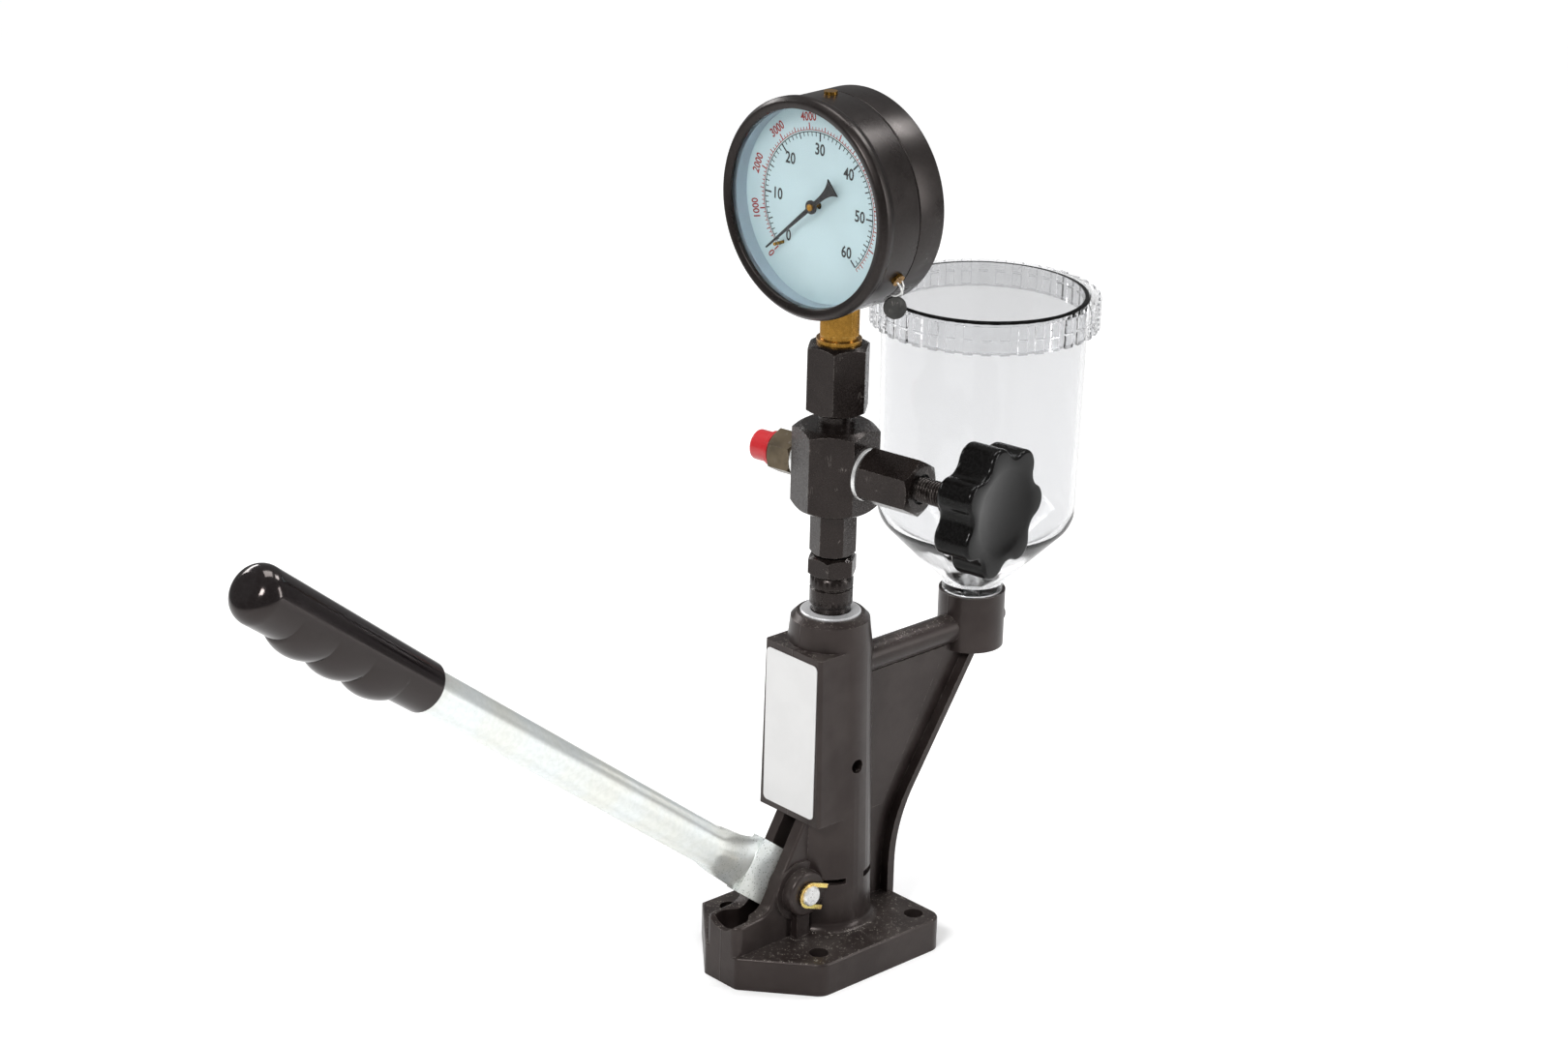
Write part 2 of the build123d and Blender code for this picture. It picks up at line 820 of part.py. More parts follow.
# Two U-shaped spring clips, one in each groove
with BuildPart() as pin_clips:
    for side in (-1, 1):
        clip_plane = Plane(
            origin=(pivot_x, side * pin_groove_y - clip_thickness / 2, pivot_z),
            x_dir=(math.cos(math.radians(clip_tilt)), 0, math.sin(math.radians(clip_tilt))),
            z_dir=(0, 1, 0),
        )
        with BuildSketch(clip_plane):
            Circle(pin_groove_radius + fit_gap + clip_band)
            with Locations((clip_leg / 2, 0)):
                Rectangle(clip_leg, 2 * (pin_groove_radius + fit_gap + clip_band))
            Circle(pin_groove_radius + fit_gap, mode=Mode.SUBTRACT)
            with Locations((clip_leg / 2 + cut_overrun / 2, 0)):
                Rectangle(clip_leg + cut_overrun, 2 * (pin_groove_radius + fit_gap), mode=Mode.SUBTRACT)
        extrude(amount=clip_thickness)
pin_clips.part.label = "pin_clips"
export_step(pin_clips.part, "parts/pin_clips.step")

def lever_section(distance, offset=tube_offset):
    """Plane square to the lever, at a distance from its pin; its y direction is the lever's height."""
    return Plane(
        origin=(lever_side.location * Location((distance, offset, 0))).position,
        x_dir=(0, -1, 0),
        z_dir=lever_side.x_dir,
    )


# Lever: a tube whose end is pressed flat into a tongue, with the pin hole and the lifting tip
tip_bearing = 180 - lever_angle + tip_drop_angle
tip_s = tip_arm * math.cos(math.radians(tip_bearing))
tip_t = tip_arm * math.sin(math.radians(tip_bearing))
with BuildPart() as lever_tube:
    with BuildSketch(lever_side):
        with BuildLine():
            Polyline(
                (press_start_s, tongue_offset - tongue_height / 2),
                (press_start_s, tongue_offset + tongue_height / 2),
                (0, tongue_offset + tongue_height / 2),
                (0, 0),
                (tongue_heel_s, tongue_offset - tongue_height / 2),
                close=True,
            )
        make_face()
        fillet(
            vertices().sort_by_distance((tongue_heel_s, tongue_offset - tongue_height / 2))[0],
            tongue_corner_radius,
        )
        Circle(tongue_boss_radius)
        with Locations((tip_s, tip_t)):
            Circle(tip_radius)
        with Locations(Location((tip_s / 2, tip_t / 2), tip_bearing)):
            Rectangle(tip_arm, 2 * arm_half_width)
    extrude(amount=tongue_thickness / 2, both=True)
    with BuildSketch(lever_section(press_start_s, tongue_offset)):
        Ellipse(tongue_thickness / 2, tongue_height / 2)
    with BuildSketch(lever_section(press_neck_s, (tongue_offset + tube_offset) / 2)):
        Ellipse(press_neck_width / 2, press_neck_height / 2)
    with BuildSketch(lever_section(press_middle_s)):
        Ellipse(press_middle_width / 2, press_middle_height / 2)
    with BuildSketch(lever_section(press_end_s)):
        Circle(tube_radius)
    loft()
    with BuildSketch(lever_section(press_end_s)):
        Circle(tube_radius)
    extrude(amount=tube_end_s - press_end_s)
    with BuildSketch(lever_section(press_end_s)):
        Circle(tube_radius - tube_wall)
    extrude(amount=tube_end_s - press_end_s + cut_overrun, mode=Mode.SUBTRACT)
    with BuildSketch(lever_side):
        Circle(pin_radius + running_gap)
    extrude(amount=tongue_thickness, both=True, mode=Mode.SUBTRACT)
lever_tube.part.label = "lever_tube"
export_step(lever_tube.part, "parts/lever_tube.step")

# Grip: a dipped sleeve, wider at its round end, with finger bumps along its underside
grip_end_s = tube_end_s + grip_end_wall
grip_start_s = grip_end_s - grip_length
grip_axis = Axis((lever_side.location * Location((0, tube_offset, 0))).position, lever_side.x_dir)
bump_offset = tube_offset - grip_bump_drop
bump_axis = Axis((lever_side.location * Location((0, bump_offset, 0))).position, lever_side.x_dir)
with BuildPart() as lever_grip:
    with BuildSketch(lever_side):
        with BuildLine():
            Polyline(
                (grip_start_s, tube_offset),
                (grip_end_s, tube_offset),
                (grip_end_s, tube_offset + grip_radius),
                (grip_start_s, tube_offset + grip_mouth_radius),
                close=True,
            )
        make_face()
        fillet(
            vertices().sort_by_distance((grip_end_s, tube_offset + grip_radius))[0], grip_end_round
        )
        fillet(
            vertices().sort_by_distance((grip_start_s, tube_offset + grip_mouth_radius))[0],
            grip_mouth_round,
        )
    revolve(axis=grip_axis)
    with BuildSketch(lever_side):
        for bump in range(grip_bump_count):
            bump_middle_s = grip_end_s - grip_bump_first_s - bump * grip_bump_pitch
            bump_start_s = bump_middle_s - grip_bump_pitch / 2
            bump_end_s = bump_middle_s + grip_bump_pitch / 2
            with BuildLine():
                ThreePointArc(
                    (bump_start_s, bump_offset - grip_notch_radius),
                    (bump_middle_s, bump_offset - grip_bump_radius),
                    (bump_end_s, bump_offset - grip_notch_radius),
                )
                Polyline(
                    (bump_end_s, bump_offset - grip_notch_radius),
                    (bump_end_s, bump_offset),
                    (bump_start_s, bump_offset),
                    (bump_start_s, bump_offset - grip_notch_radius),
                )
            make_face()
    revolve(axis=bump_axis)
    with BuildSketch(lever_section(grip_start_s)):
        Circle(tube_radius + fit_gap)
    extrude(amount=tube_end_s + fit_gap - grip_start_s, mode=Mode.SUBTRACT)
lever_grip.part.label = "lever_grip"
export_step(lever_grip.part, "parts/lever_grip.step")

# Tappet: a foot for the lever's tip under a guided cup for the plunger
with BuildPart() as tappet:
    ring(tappet_foot_radius, 0, tappet_bottom_z, tappet_bottom_z + tappet_foot_height)
    ring(guide_bore_radius - running_gap, 0, tappet_bottom_z + tappet_foot_height, tappet_top_z)
    with BuildSketch(Plane.XY.offset(plunger_bottom_z)):
        Circle(plunger_foot_radius + soft_gap)
    extrude(amount=tappet_recess + cut_overrun, mode=Mode.SUBTRACT)
tappet.part.label = "tappet"
export_step(tappet.part, "parts/tappet.step")

with BuildPart() as plunger:
    ring(plunger_foot_radius, 0, plunger_bottom_z, plunger_bottom_z + plunger_foot_height)
    ring(plunger_radius, 0, plunger_bottom_z, plunger_top_z)
plunger.part.label = "plunger"
export_step(plunger.part, "parts/plunger.step")

with BuildPart() as spring_seat:
    ring(seat_plate_radius, plunger_radius + soft_gap, tappet_top_z, spring_bottom_z)
spring_seat.part.label = "spring_seat"
export_step(spring_seat.part, "parts/spring_seat.step")


def compression_spring(coil_radius, wire, turns, bottom, top):
    """One wire wound round the column's axis, seated on both levels."""
    low = bottom + wire + fit_gap
    high = top - wire - fit_gap
    with BuildPart() as spring:
        with BuildLine(Plane.XY.offset(low)):
            path = Helix(pitch=(high - low) / turns, height=high - low, radius=coil_radius)
        with BuildSketch(Plane(origin=path @ 0, z_dir=path % 0)):
            Circle(wire)
        sweep(path=path, is_frenet=True)
    return spring


plunger_spring = compression_spring(
    spring_coil_radius, spring_wire_radius, spring_turns, spring_bottom_z, barrel_bottom_z
)
plunger_spring.part.label = "plunger_spring"
export_step(plunger_spring.part, "parts/plunger_spring.step")

# Barrel, seated on the step of the bore, with its filling port towards the fuel duct
with BuildPart() as pump_barrel:
    ring(barrel_lower_radius, plunger_radius + running_gap, barrel_bottom_z, head_bore_floor_z)
    ring(head_bore_radius - fit_gap, plunger_radius + running_gap, head_bore_floor_z, barrel_top_z)
    with BuildSketch(Plane.YZ):
        with Locations((0, duct_z)):
            Circle(barrel_port_radius)
    extrude(amount=head_bore_radius, mode=Mode.SUBTRACT)
pump_barrel.part.label = "pump_barrel"
export_step(pump_barrel.part, "parts/pump_barrel.step")

with BuildPart() as delivery_valve_seat:
    ring(valve_seat_radius, delivery_stem_radius + running_gap, barrel_top_z, valve_seat_top_z)
delivery_valve_seat.part.label = "delivery_valve_seat"
export_step(delivery_valve_seat.part, "parts/delivery_valve_seat.step")

with BuildPart() as delivery_valve:
    ring(delivery_stem_radius, 0, barrel_top_z + delivery_lift, valve_seat_top_z)
    ring(delivery_head_radius, 0, valve_seat_top_z, delivery_head_top_z)
delivery_valve.part.label = "delivery_valve"
export_step(delivery_valve.part, "parts/delivery_valve.step")

delivery_spring = compression_spring(
    delivery_coil_radius, delivery_wire_radius, delivery_turns, delivery_head_top_z,
    delivery_chamber_top_z,
)
delivery_spring.part.label = "delivery_spring"
export_step(delivery_spring.part, "parts/delivery_spring.step")

# Delivery valve holder: flange, thread, turned bulge, hexagon and stem
holder_hexagon = hex_bar(
    Plane.XY.offset(holder_hex_z), holder_hex_flats, holder_hex_azimuth, holder_hex_top_z - holder_hex_z
)
with BuildPart() as delivery_valve_holder:
    with BuildSketch(Plane.XZ):
        with BuildLine():
            Polyline(
                (0, barrel_top_z),
                (head_bore_radius - fit_gap, barrel_top_z),
                (head_bore_radius - fit_gap, holder_flange_top_z),
                (holder_thread_radius, holder_flange_top_z),
                (holder_thread_radius, holder_bulge_z),
                (holder_bulge_radius, holder_bulge_z + holder_bulge_round),
                (holder_bulge_radius, holder_groove_z - holder_groove_height / 2),
                (holder_groove_radius, holder_groove_z),
                (holder_bulge_radius, holder_groove_z + holder_groove_height / 2),
                (holder_bulge_radius, holder_hex_z - holder_bulge_round),
                (holder_thread_radius, holder_hex_z),
                (holder_stem_radius, holder_hex_top_z),
                (holder_stem_radius, holder_stem_top_z),
                (0, holder_stem_top_z),
                close=True,
            )
        make_face()
    revolve(axis=Axis.Z)
    add(holder_hexagon)
    ring(valve_seat_radius + fit_gap, 0, barrel_top_z, valve_seat_top_z, Mode.SUBTRACT)
    ring(delivery_chamber_radius, 0, valve_seat_top_z, delivery_chamber_top_z, Mode.SUBTRACT)
    ring(passage_radius, 0, delivery_chamber_top_z, block_top_z, Mode.SUBTRACT)
delivery_valve_holder.part.label = "delivery_valve_holder"
export_step(delivery_valve_holder.part, "parts/delivery_valve_holder.step")

# Bright ring nut that clamps the holder into the column
with BuildPart() as clamp_ring:
    ring(head_bore_radius - fit_gap, holder_thread_radius + fit_gap, holder_flange_top_z, ring_top_z)
    chamfer(edges().filter_by(GeomType.CIRCLE).group_by(Axis.Z)[-1], ring_chamfer)
clamp_ring.part.label = "clamp_ring"
export_step(clamp_ring.part, "parts/clamp_ring.step")

# Union nut under the block
union_hexagon = hex_bar(
    Plane.XY.offset(union_bottom_z), union_hex_flats, union_hex_azimuth, block_bottom_z - union_bottom_z
)
with BuildPart() as union_nut:
    add(union_hexagon)
    ring(holder_stem_radius + fit_gap, 0, union_bottom_z, block_bottom_z, Mode.SUBTRACT)
union_nut.part.label = "union_nut"
export_step(union_nut.part, "parts/union_nut.step")

# Cross block: hexagonal bar with a passage up, one to the valve and one to the outlet
block_bar = hex_bar(
    Plane.XY.offset(block_bottom_z), block_flats, block_turn + 30, block_top_z - block_bottom_z
)
with BuildPart() as cross_block:
    add(block_bar)
    ring(passage_radius, 0, block_bottom_z, block_top_z, Mode.SUBTRACT)
    ring(holder_stem_radius + fit_gap, 0, block_bottom_z, holder_stem_top_z, Mode.SUBTRACT)
    ring(neck_radius + fit_gap, 0, nipple_bottom_z, block_top_z, Mode.SUBTRACT)
    disc_at(along_block(-block_face), passage_radius, 0, 2 * block_face, Mode.SUBTRACT)
    disc_at(along_block(block_face - port_bore_depth), port_bore_radius, 0, block_flats, Mode.SUBTRACT)
    disc_at(along_block(port_bore_depth - block_face), port_bore_radius, 0, -block_flats, Mode.SUBTRACT)
cross_block.part.label = "cross_block"
export_step(cross_block.part, "parts/cross_block.step")

# Shut-off valve: washer, body, packing, spindle with collar, needle and lobed knob
washer_outer_face = block_face + valve_washer_thickness
with BuildPart() as valve_washer:
    disc_at(along_block(block_face), valve_washer_radius, port_bore_radius, valve_washer_thickness)
    chamfer(edges().filter_by(GeomType.CIRCLE).group_by(Axis.Y)[0], washer_chamfer)
valve_washer.part.label = "valve_washer"
export_step(valve_washer.part, "parts/valve_washer.step")

valve_hexagon = hex_bar(
    along_block(washer_outer_face), valve_hex_flats, 0, valve_hex_end - washer_outer_face
)
with BuildPart() as valve_body:
    add(valve_hexagon)
    disc_at(along_block(block_face - port_bore_depth), port_bore_radius - fit_gap, 0,
            port_bore_depth + valve_washer_thickness)
    disc_at(along_block(block_face - port_bore_depth), needle_radius + running_gap, 0, valve_hex_end,
            Mode.SUBTRACT)
    disc_at(along_block(spindle_inner_end - fit_gap), spindle_radius + running_gap, 0, valve_hex_end,
            Mode.SUBTRACT)
    disc_at(along_block(valve_hex_end - packing_depth), packing_bore_radius, 0, packing_depth + cut_overrun,
            Mode.SUBTRACT)
valve_body.part.label = "valve_body"
export_step(valve_body.part, "parts/valve_body.step")

with BuildPart() as valve_packing:
    disc_at(along_block(valve_hex_end - packing_depth), packing_bore_radius - fit_gap,
            spindle_radius + running_gap, packing_length)
valve_packing.part.label = "valve_packing"
export_step(valve_packing.part, "parts/valve_packing.step")

# The needle's cone rests in the mouth of the block's passage
tip_flat_radius = passage_radius / 2
cone_slope = needle_cone / (needle_radius - tip_flat_radius)
needle_tip = block_face - port_bore_depth - (passage_radius - running_gap - tip_flat_radius) * cone_slope
with BuildPart() as valve_needle:
    with BuildSketch(along_block(needle_tip + needle_cone)):
        Circle(needle_radius)
    extrude(amount=spindle_inner_end - needle_tip - needle_cone - fit_gap)
    with BuildSketch(along_block(needle_tip)):
        Circle(tip_flat_radius)
    with BuildSketch(along_block(needle_tip + needle_cone)):
        Circle(needle_radius)
    loft()
valve_needle.part.label = "valve_needle"
export_step(valve_needle.part, "parts/valve_needle.step")

with BuildPart() as valve_spindle:
    disc_at(along_block(spindle_inner_end), spindle_radius, 0, knob_start - spindle_inner_end)
    disc_at(along_block(collar_start), collar_radius, 0, knob_boss_start - collar_start)
valve_spindle.part.label = "valve_spindle"
export_step(valve_spindle.part, "parts/valve_spindle.step")

# Knob: seven round lobes that run into round valleys without a corner, and a back disc.
# A valley's circle touches the two lobes' circles beside it, which gives its radius.
lobe_step = 360 / knob_lobes
lobe_distance = knob_radius - knob_lobe_radius
lobe_reach = lobe_distance * math.cos(math.radians(lobe_step / 2))
valley_radius = (
    lobe_distance**2 + knob_valley_floor**2 - 2 * lobe_reach * knob_valley_floor - knob_lobe_radius**2
) / (2 * (knob_lobe_radius - knob_valley_floor + lobe_reach))
lobe_middle = Vector(lobe_distance, 0)
valley_middle = Vector(knob_valley_floor + valley_radius, 0).rotate(Axis.Z, lobe_step / 2)
touch_after = lobe_middle + (valley_middle - lobe_middle).normalized() * knob_lobe_radius
touch_before = Vector(touch_after.X, -touch_after.Y)
with BuildPart() as valve_knob:
    with BuildSketch(along_block(knob_start)):
        with BuildLine():
            for lobe in range(knob_lobes):
                turn = knob_clock + lobe * lobe_step
                ThreePointArc(
                    touch_before.rotate(Axis.Z, turn),
                    Vector(knob_radius, 0).rotate(Axis.Z, turn),
                    touch_after.rotate(Axis.Z, turn),
                )
                ThreePointArc(
                    touch_after.rotate(Axis.Z, turn),
                    Vector(knob_valley_floor, 0).rotate(Axis.Z, turn + lobe_step / 2),
                    touch_before.rotate(Axis.Z, turn + lobe_step),
                )
        make_face()
    extrude(amount=knob_thickness)
    knob_face = along_block(knob_start + knob_thickness)
    fillet(faces().sort_by_distance(knob_face.origin)[0].edges(), knob_round)
    fillet(faces().sort_by_distance(along_block(knob_start).origin)[0].edges(), knob_back_round)
    disc_at(along_block(knob_boss_start), knob_boss_radius, spindle_radius + fit_gap,
            knob_start - knob_boss_start)
valve_knob.part.label = "valve_knob"
export_step(valve_knob.part, "parts/valve_knob.step")

# Outlet on the opposite face: washer, fitting and the red dust cap
with BuildPart() as outlet_washer:
    disc_at(along_block(-block_face), outlet_washer_radius, port_bore_radius, -outlet_washer_thickness)
outlet_washer.part.label = "outlet_washer"
export_step(outlet_washer.part, "parts/outlet_washer.step")

outlet_start = block_face + outlet_washer_thickness
outlet_hexagon = hex_bar(
    along_block(outlet_start, block_turn + 180), outlet_hex_flats, 0, outlet_hex_end - outlet_start
)
with BuildPart() as outlet_fitting:
    add(outlet_hexagon)
    disc_at(along_block(port_bore_depth - block_face), port_bore_radius - fit_gap, 0,
            -port_bore_depth - outlet_washer_thickness)
    disc_at(along_block(-outlet_hex_end), outlet_thread_radius, 0, outlet_hex_end - outlet_thread_end)
    disc_at(along_block(port_bore_depth - block_face), outlet_bore_radius, 0, -outlet_thread_end,
            Mode.SUBTRACT)
outlet_fitting.part.label = "outlet_fitting"
export_step(outlet_fitting.part, "parts/outlet_fitting.step")

with BuildPart() as dust_cap:
    disc_at(along_block(-cap_start), cap_radius, 0, cap_start - cap_end)
    disc_at(along_block(-cap_start), cap_rim_radius, 0, -cap_rim_height)
    disc_at(along_block(-cap_start), outlet_thread_radius + fit_gap, 0,
            cap_start - outlet_thread_end - soft_gap, Mode.SUBTRACT)
    fillet(edges().filter_by(GeomType.CIRCLE).group_by(Axis.Y)[-1], cap_round)
dust_cap.part.label = "dust_cap"
export_step(dust_cap.part, "parts/dust_cap.step")

# Coupling between block and gauge, its nipple, and the washer that seals the stem
coupling_hexagon = hex_bar(
    Plane.XY.offset(coupling_bottom_z), coupling_flats, coupling_azimuth, coupling_top_z - coupling_bottom_z
)
with BuildPart() as gauge_coupling:
    add(coupling_hexagon)
    ring(neck_radius + fit_gap, 0, coupling_bottom_z, nipple_top_z, Mode.SUBTRACT)
    ring(passage_radius, 0, nipple_top_z, coupling_top_z, Mode.SUBTRACT)
    ring(stem_thread_radius + fit_gap, 0, stem_bottom_z - seal_washer_thickness, coupling_top_z,
         Mode.SUBTRACT)
gauge_coupling.part.label = "gauge_coupling"
export_step(gauge_coupling.part, "parts/gauge_coupling.step")

with BuildPart() as coupling_nipple:
    ring(neck_radius, passage_radius, nipple_bottom_z, nipple_top_z)
coupling_nipple.part.label = "coupling_nipple"
export_step(coupling_nipple.part, "parts/coupling_nipple.step")

with BuildPart() as gauge_seal_washer:
    ring(stem_thread_radius, passage_radius, stem_bottom_z - seal_washer_thickness, stem_bottom_z)
gauge_seal_washer.part.label = "gauge_seal_washer"
export_step(gauge_seal_washer.part, "parts/gauge_seal_washer.step")

# Brass gauge stem: thread, flange, square, and the block inside the case that holds the works
with BuildPart() as gauge_stem:
    ring(stem_thread_radius, 0, stem_bottom_z, coupling_top_z)
    ring(stem_flange_radius, 0, coupling_top_z, coupling_top_z + stem_flange_height)
    ring(stem_square / 2, 0, coupling_top_z, stem_square_z)
    with BuildSketch(Plane.XY.offset(stem_square_z)):
        Circle(stem_turned_radius)
        Rectangle(stem_square, stem_square, rotation=gauge_turn + stem_square_turn, mode=Mode.INTERSECT)
    extrude(amount=case_bottom_z + case_wall - stem_square_z)
    with BuildSketch(gauge_plane(-socket_block_depth / 2)):
        with Locations((0, (socket_block_top - case_radius) / 2)):
            Rectangle(socket_block_width, case_radius + socket_block_top)
    extrude(amount=socket_block_depth)
    ring(passage_radius, 0, stem_bottom_z, gauge_centre_z + socket_block_top - case_wall, Mode.SUBTRACT)
gauge_stem.part.label = "gauge_stem"
export_step(gauge_stem.part, "parts/gauge_stem.step")


def screw_plane(angle):
    """Plane on the case's side where a screw's head sits, facing outwards."""
    across, up = polar(1, angle)
    outwards = gauge_right * across + Vector(0, 0, 1) * up
    seat = gauge_middle + gauge_forwards * case_screw_depth + outwards * case_radius
    return Plane(origin=seat, x_dir=gauge_forwards, z_dir=outwards)


# Gauge case: back pan with a spigot that the bezel slides over
stem_gate_radius = stem_turned_radius + fit_gap
with BuildPart() as gauge_case:
    add(
        gauge_turning(
            (
                (0, case_back_depth),
                (case_radius - bezel_round, case_back_depth),
                (case_radius, case_back_depth + bezel_round),
                (case_radius, case_seam_depth),
                (case_spigot_radius, case_seam_depth),
                (case_spigot_radius, dial_front_depth - dial_thickness),
                (case_spigot_radius - case_wall, dial_front_depth - dial_thickness),
                (case_spigot_radius - case_wall, case_back_depth + case_wall),
                (0, case_back_depth + case_wall),
            )
        )
    )
    with BuildSketch(Plane.XY.offset(case_bottom_z - cut_overrun)):
        Circle(stem_gate_radius)
    extrude(amount=cut_overrun + stem_gate_height, mode=Mode.SUBTRACT)
    for angle in case_screw_angles:
        disc_at(screw_plane(angle), case_screw_radius + fit_gap, 0, -case_screw_length, Mode.SUBTRACT)
gauge_case.part.label = "gauge_case"
export_step(gauge_case.part, "parts/gauge_case.step")

# Bezel: front shell with a rolled bead and the lip that holds the glass
with BuildPart() as gauge_bezel:
    add(
        gauge_turning(
            (
                (case_radius, case_seam_depth),
                (case_radius, bezel_bead_depth),
                (bezel_bead_radius, bezel_bead_depth + bezel_round / 2),
                (bezel_bead_radius, bezel_front_depth - bezel_round),
                (bezel_bead_radius - bezel_round, bezel_front_depth),
                (bezel_window_radius + fit_gap, bezel_front_depth - bezel_lip / 4),
                (bezel_window_radius, bezel_front_depth - bezel_lip),
                (case_spigot_radius + fit_gap, bezel_front_depth - bezel_lip),
                (case_spigot_radius + fit_gap, case_seam_depth),
            )
        )
    )
    with BuildSketch(Plane.XY.offset(case_bottom_z - cut_overrun)):
        Circle(stem_gate_radius)
    extrude(amount=cut_overrun + stem_gate_height, mode=Mode.SUBTRACT)
    for angle in case_screw_angles:
        disc_at(screw_plane(angle), case_screw_radius + fit_gap, 0, -case_screw_length, Mode.SUBTRACT)
gauge_bezel.part.label = "gauge_bezel"
export_step(gauge_bezel.part, "parts/gauge_bezel.step")

# Glass, the spacer ring that holds it off the dial, and the dial
glass_front_depth = bezel_front_depth - bezel_lip - fit_gap
with BuildPart() as gauge_glass:
    add(gauge_disc(glass_front_depth - glass_thickness, glass_front_depth, case_spigot_radius))
gauge_glass.part.label = "gauge_glass"
export_step(gauge_glass.part, "parts/gauge_glass.step")

with BuildPart() as dial_spacer:
    add(
        gauge_disc(
            dial_front_depth, glass_front_depth - glass_thickness, case_spigot_radius, bezel_window_radius
        )
    )
dial_spacer.part.label = "dial_spacer"
export_step(dial_spacer.part, "parts/dial_spacer.step")

with BuildPart() as gauge_dial:
    add(
        gauge_disc(
            dial_front_depth - dial_thickness, dial_front_depth, case_spigot_radius, dial_hole_radius
        )
    )
gauge_dial.part.label = "gauge_dial"
export_step(gauge_dial.part, "parts/gauge_dial.step")

with BuildPart() as zero_stop:
    stop_place = polar(stop_distance, pointer_rest_angle + stop_lead_angle)
    add(gauge_disc(dial_front_depth, pointer_depth + 2 * pointer_thickness, stop_radius, 0, stop_place))
zero_stop.part.label = "zero_stop"
export_step(zero_stop.part, "parts/zero_stop.step")

# Pointer: tapering needle, hub and arrow-shaped tail
with BuildPart() as gauge_pointer:
    with BuildSketch(gauge_plane(pointer_depth, pointer_rest_angle)):
        with BuildLine():
            Polyline(
                (-pointer_neck, -pointer_half_width),
                (0, -pointer_half_width),
                (pointer_length, -pointer_tip_half_width),
                (pointer_length, pointer_tip_half_width),
                (0, pointer_half_width),
                (-pointer_neck, pointer_half_width),
            )
            for side in (-1, 1):
                Spline(
                    (-pointer_neck, side * pointer_half_width),
                    (-pointer_tail, side * pointer_tail_half_width),
                    tangents=((-1, 0), (-1, side)),
                )
            Line((-pointer_tail, -pointer_tail_half_width), (-pointer_tail, pointer_tail_half_width))
        make_face()
        Circle(pointer_hub_radius)
        Circle(arbor_radius + fit_gap, mode=Mode.SUBTRACT)
    extrude(amount=pointer_thickness)
gauge_pointer.part.label = "gauge_pointer"
export_step(gauge_pointer.part, "parts/gauge_pointer.step")


def gear_outline(teeth, first, last):
    """Trapezoid teeth, from tooth number first to last, as points of the gauge's plane.

    Tooth 0 stands at angle 0. The tips are a module outside the pitch circle, the roots
    a little more than that inside it.
    """
    pitch_radius = gear_module * teeth / 2
    tip_radius_here = pitch_radius + gear_module
    root_radius = pitch_radius - gear_module * root_depth_share
    step = 360 / teeth
    tip_half_angle = step * tooth_tip_share / 2
    root_half_angle = step * tooth_root_share / 2
    points = []
    for tooth in range(first, last + 1):
        middle = tooth * step
        points.append(polar(root_radius, middle - root_half_angle))
        points.append(polar(tip_radius_here, middle - tip_half_angle))
        points.append(polar(tip_radius_here, middle + tip_half_angle))
        points.append(polar(root_radius, middle + root_half_angle))
    return points


# Pinion on the pointer's arbor, toothed sector and link between the two movement plates
back_plate_front = socket_block_depth / 2 + plate_thickness
front_plate_back = back_plate_front + plate_gap
front_plate_front = front_plate_back + plate_thickness
gear_back = back_plate_front + soft_gap
gear_front = gear_back + sector_thickness
sector_teeth = round(pinion_teeth * gear_ratio)
pinion_pitch_radius = gear_module * pinion_teeth / 2
sector_pitch_radius = gear_module * sector_teeth / 2
sector_pivot_y = -(pinion_pitch_radius + sector_pitch_radius)
sector_step = 360 / sector_teeth

with BuildPart() as pointer_pinion:
    with BuildSketch(gauge_plane(gear_back, 180 / pinion_teeth - 90)):
        with BuildLine():
            Polyline(*gear_outline(pinion_teeth, 0, pinion_teeth - 1), close=True)
        make_face()
    extrude(amount=sector_thickness)
    add(gauge_disc(socket_block_depth / 2, pointer_depth + pointer_thickness, arbor_radius))
    add(gauge_disc(pointer_depth + pointer_thickness, pointer_depth + 2 * pointer_thickness,
                   pointer_hub_radius / 2))
pointer_pinion.part.label = "pointer_pinion"
export_step(pointer_pinion.part, "parts/pointer_pinion.step")

# The tube's tip, and the line from it that just touches the circle of the sector's ear
post_place = polar(bourdon_radius, bourdon_tip_angle)
post_x, post_y = post_place
post_reach = math.hypot(post_x, post_y - sector_pivot_y)
link_angle = math.degrees(
    math.atan2(post_y - sector_pivot_y, post_x) + math.asin(ear_distance / post_reach)
)
sector_sweep = pointer_sweep / gear_ratio
ear_angle = link_angle - 90 - sector_sweep / 2
ear_x, ear_y = polar(ear_distance, ear_angle)
ear_place = (ear_x, ear_y + sector_pivot_y)
link_travel = 2 * ear_distance * math.sin(math.radians(sector_sweep / 2))
sector_last = math.ceil(sector_sweep / sector_step) + sector_spare
sector_pivot = (0, sector_pivot_y)

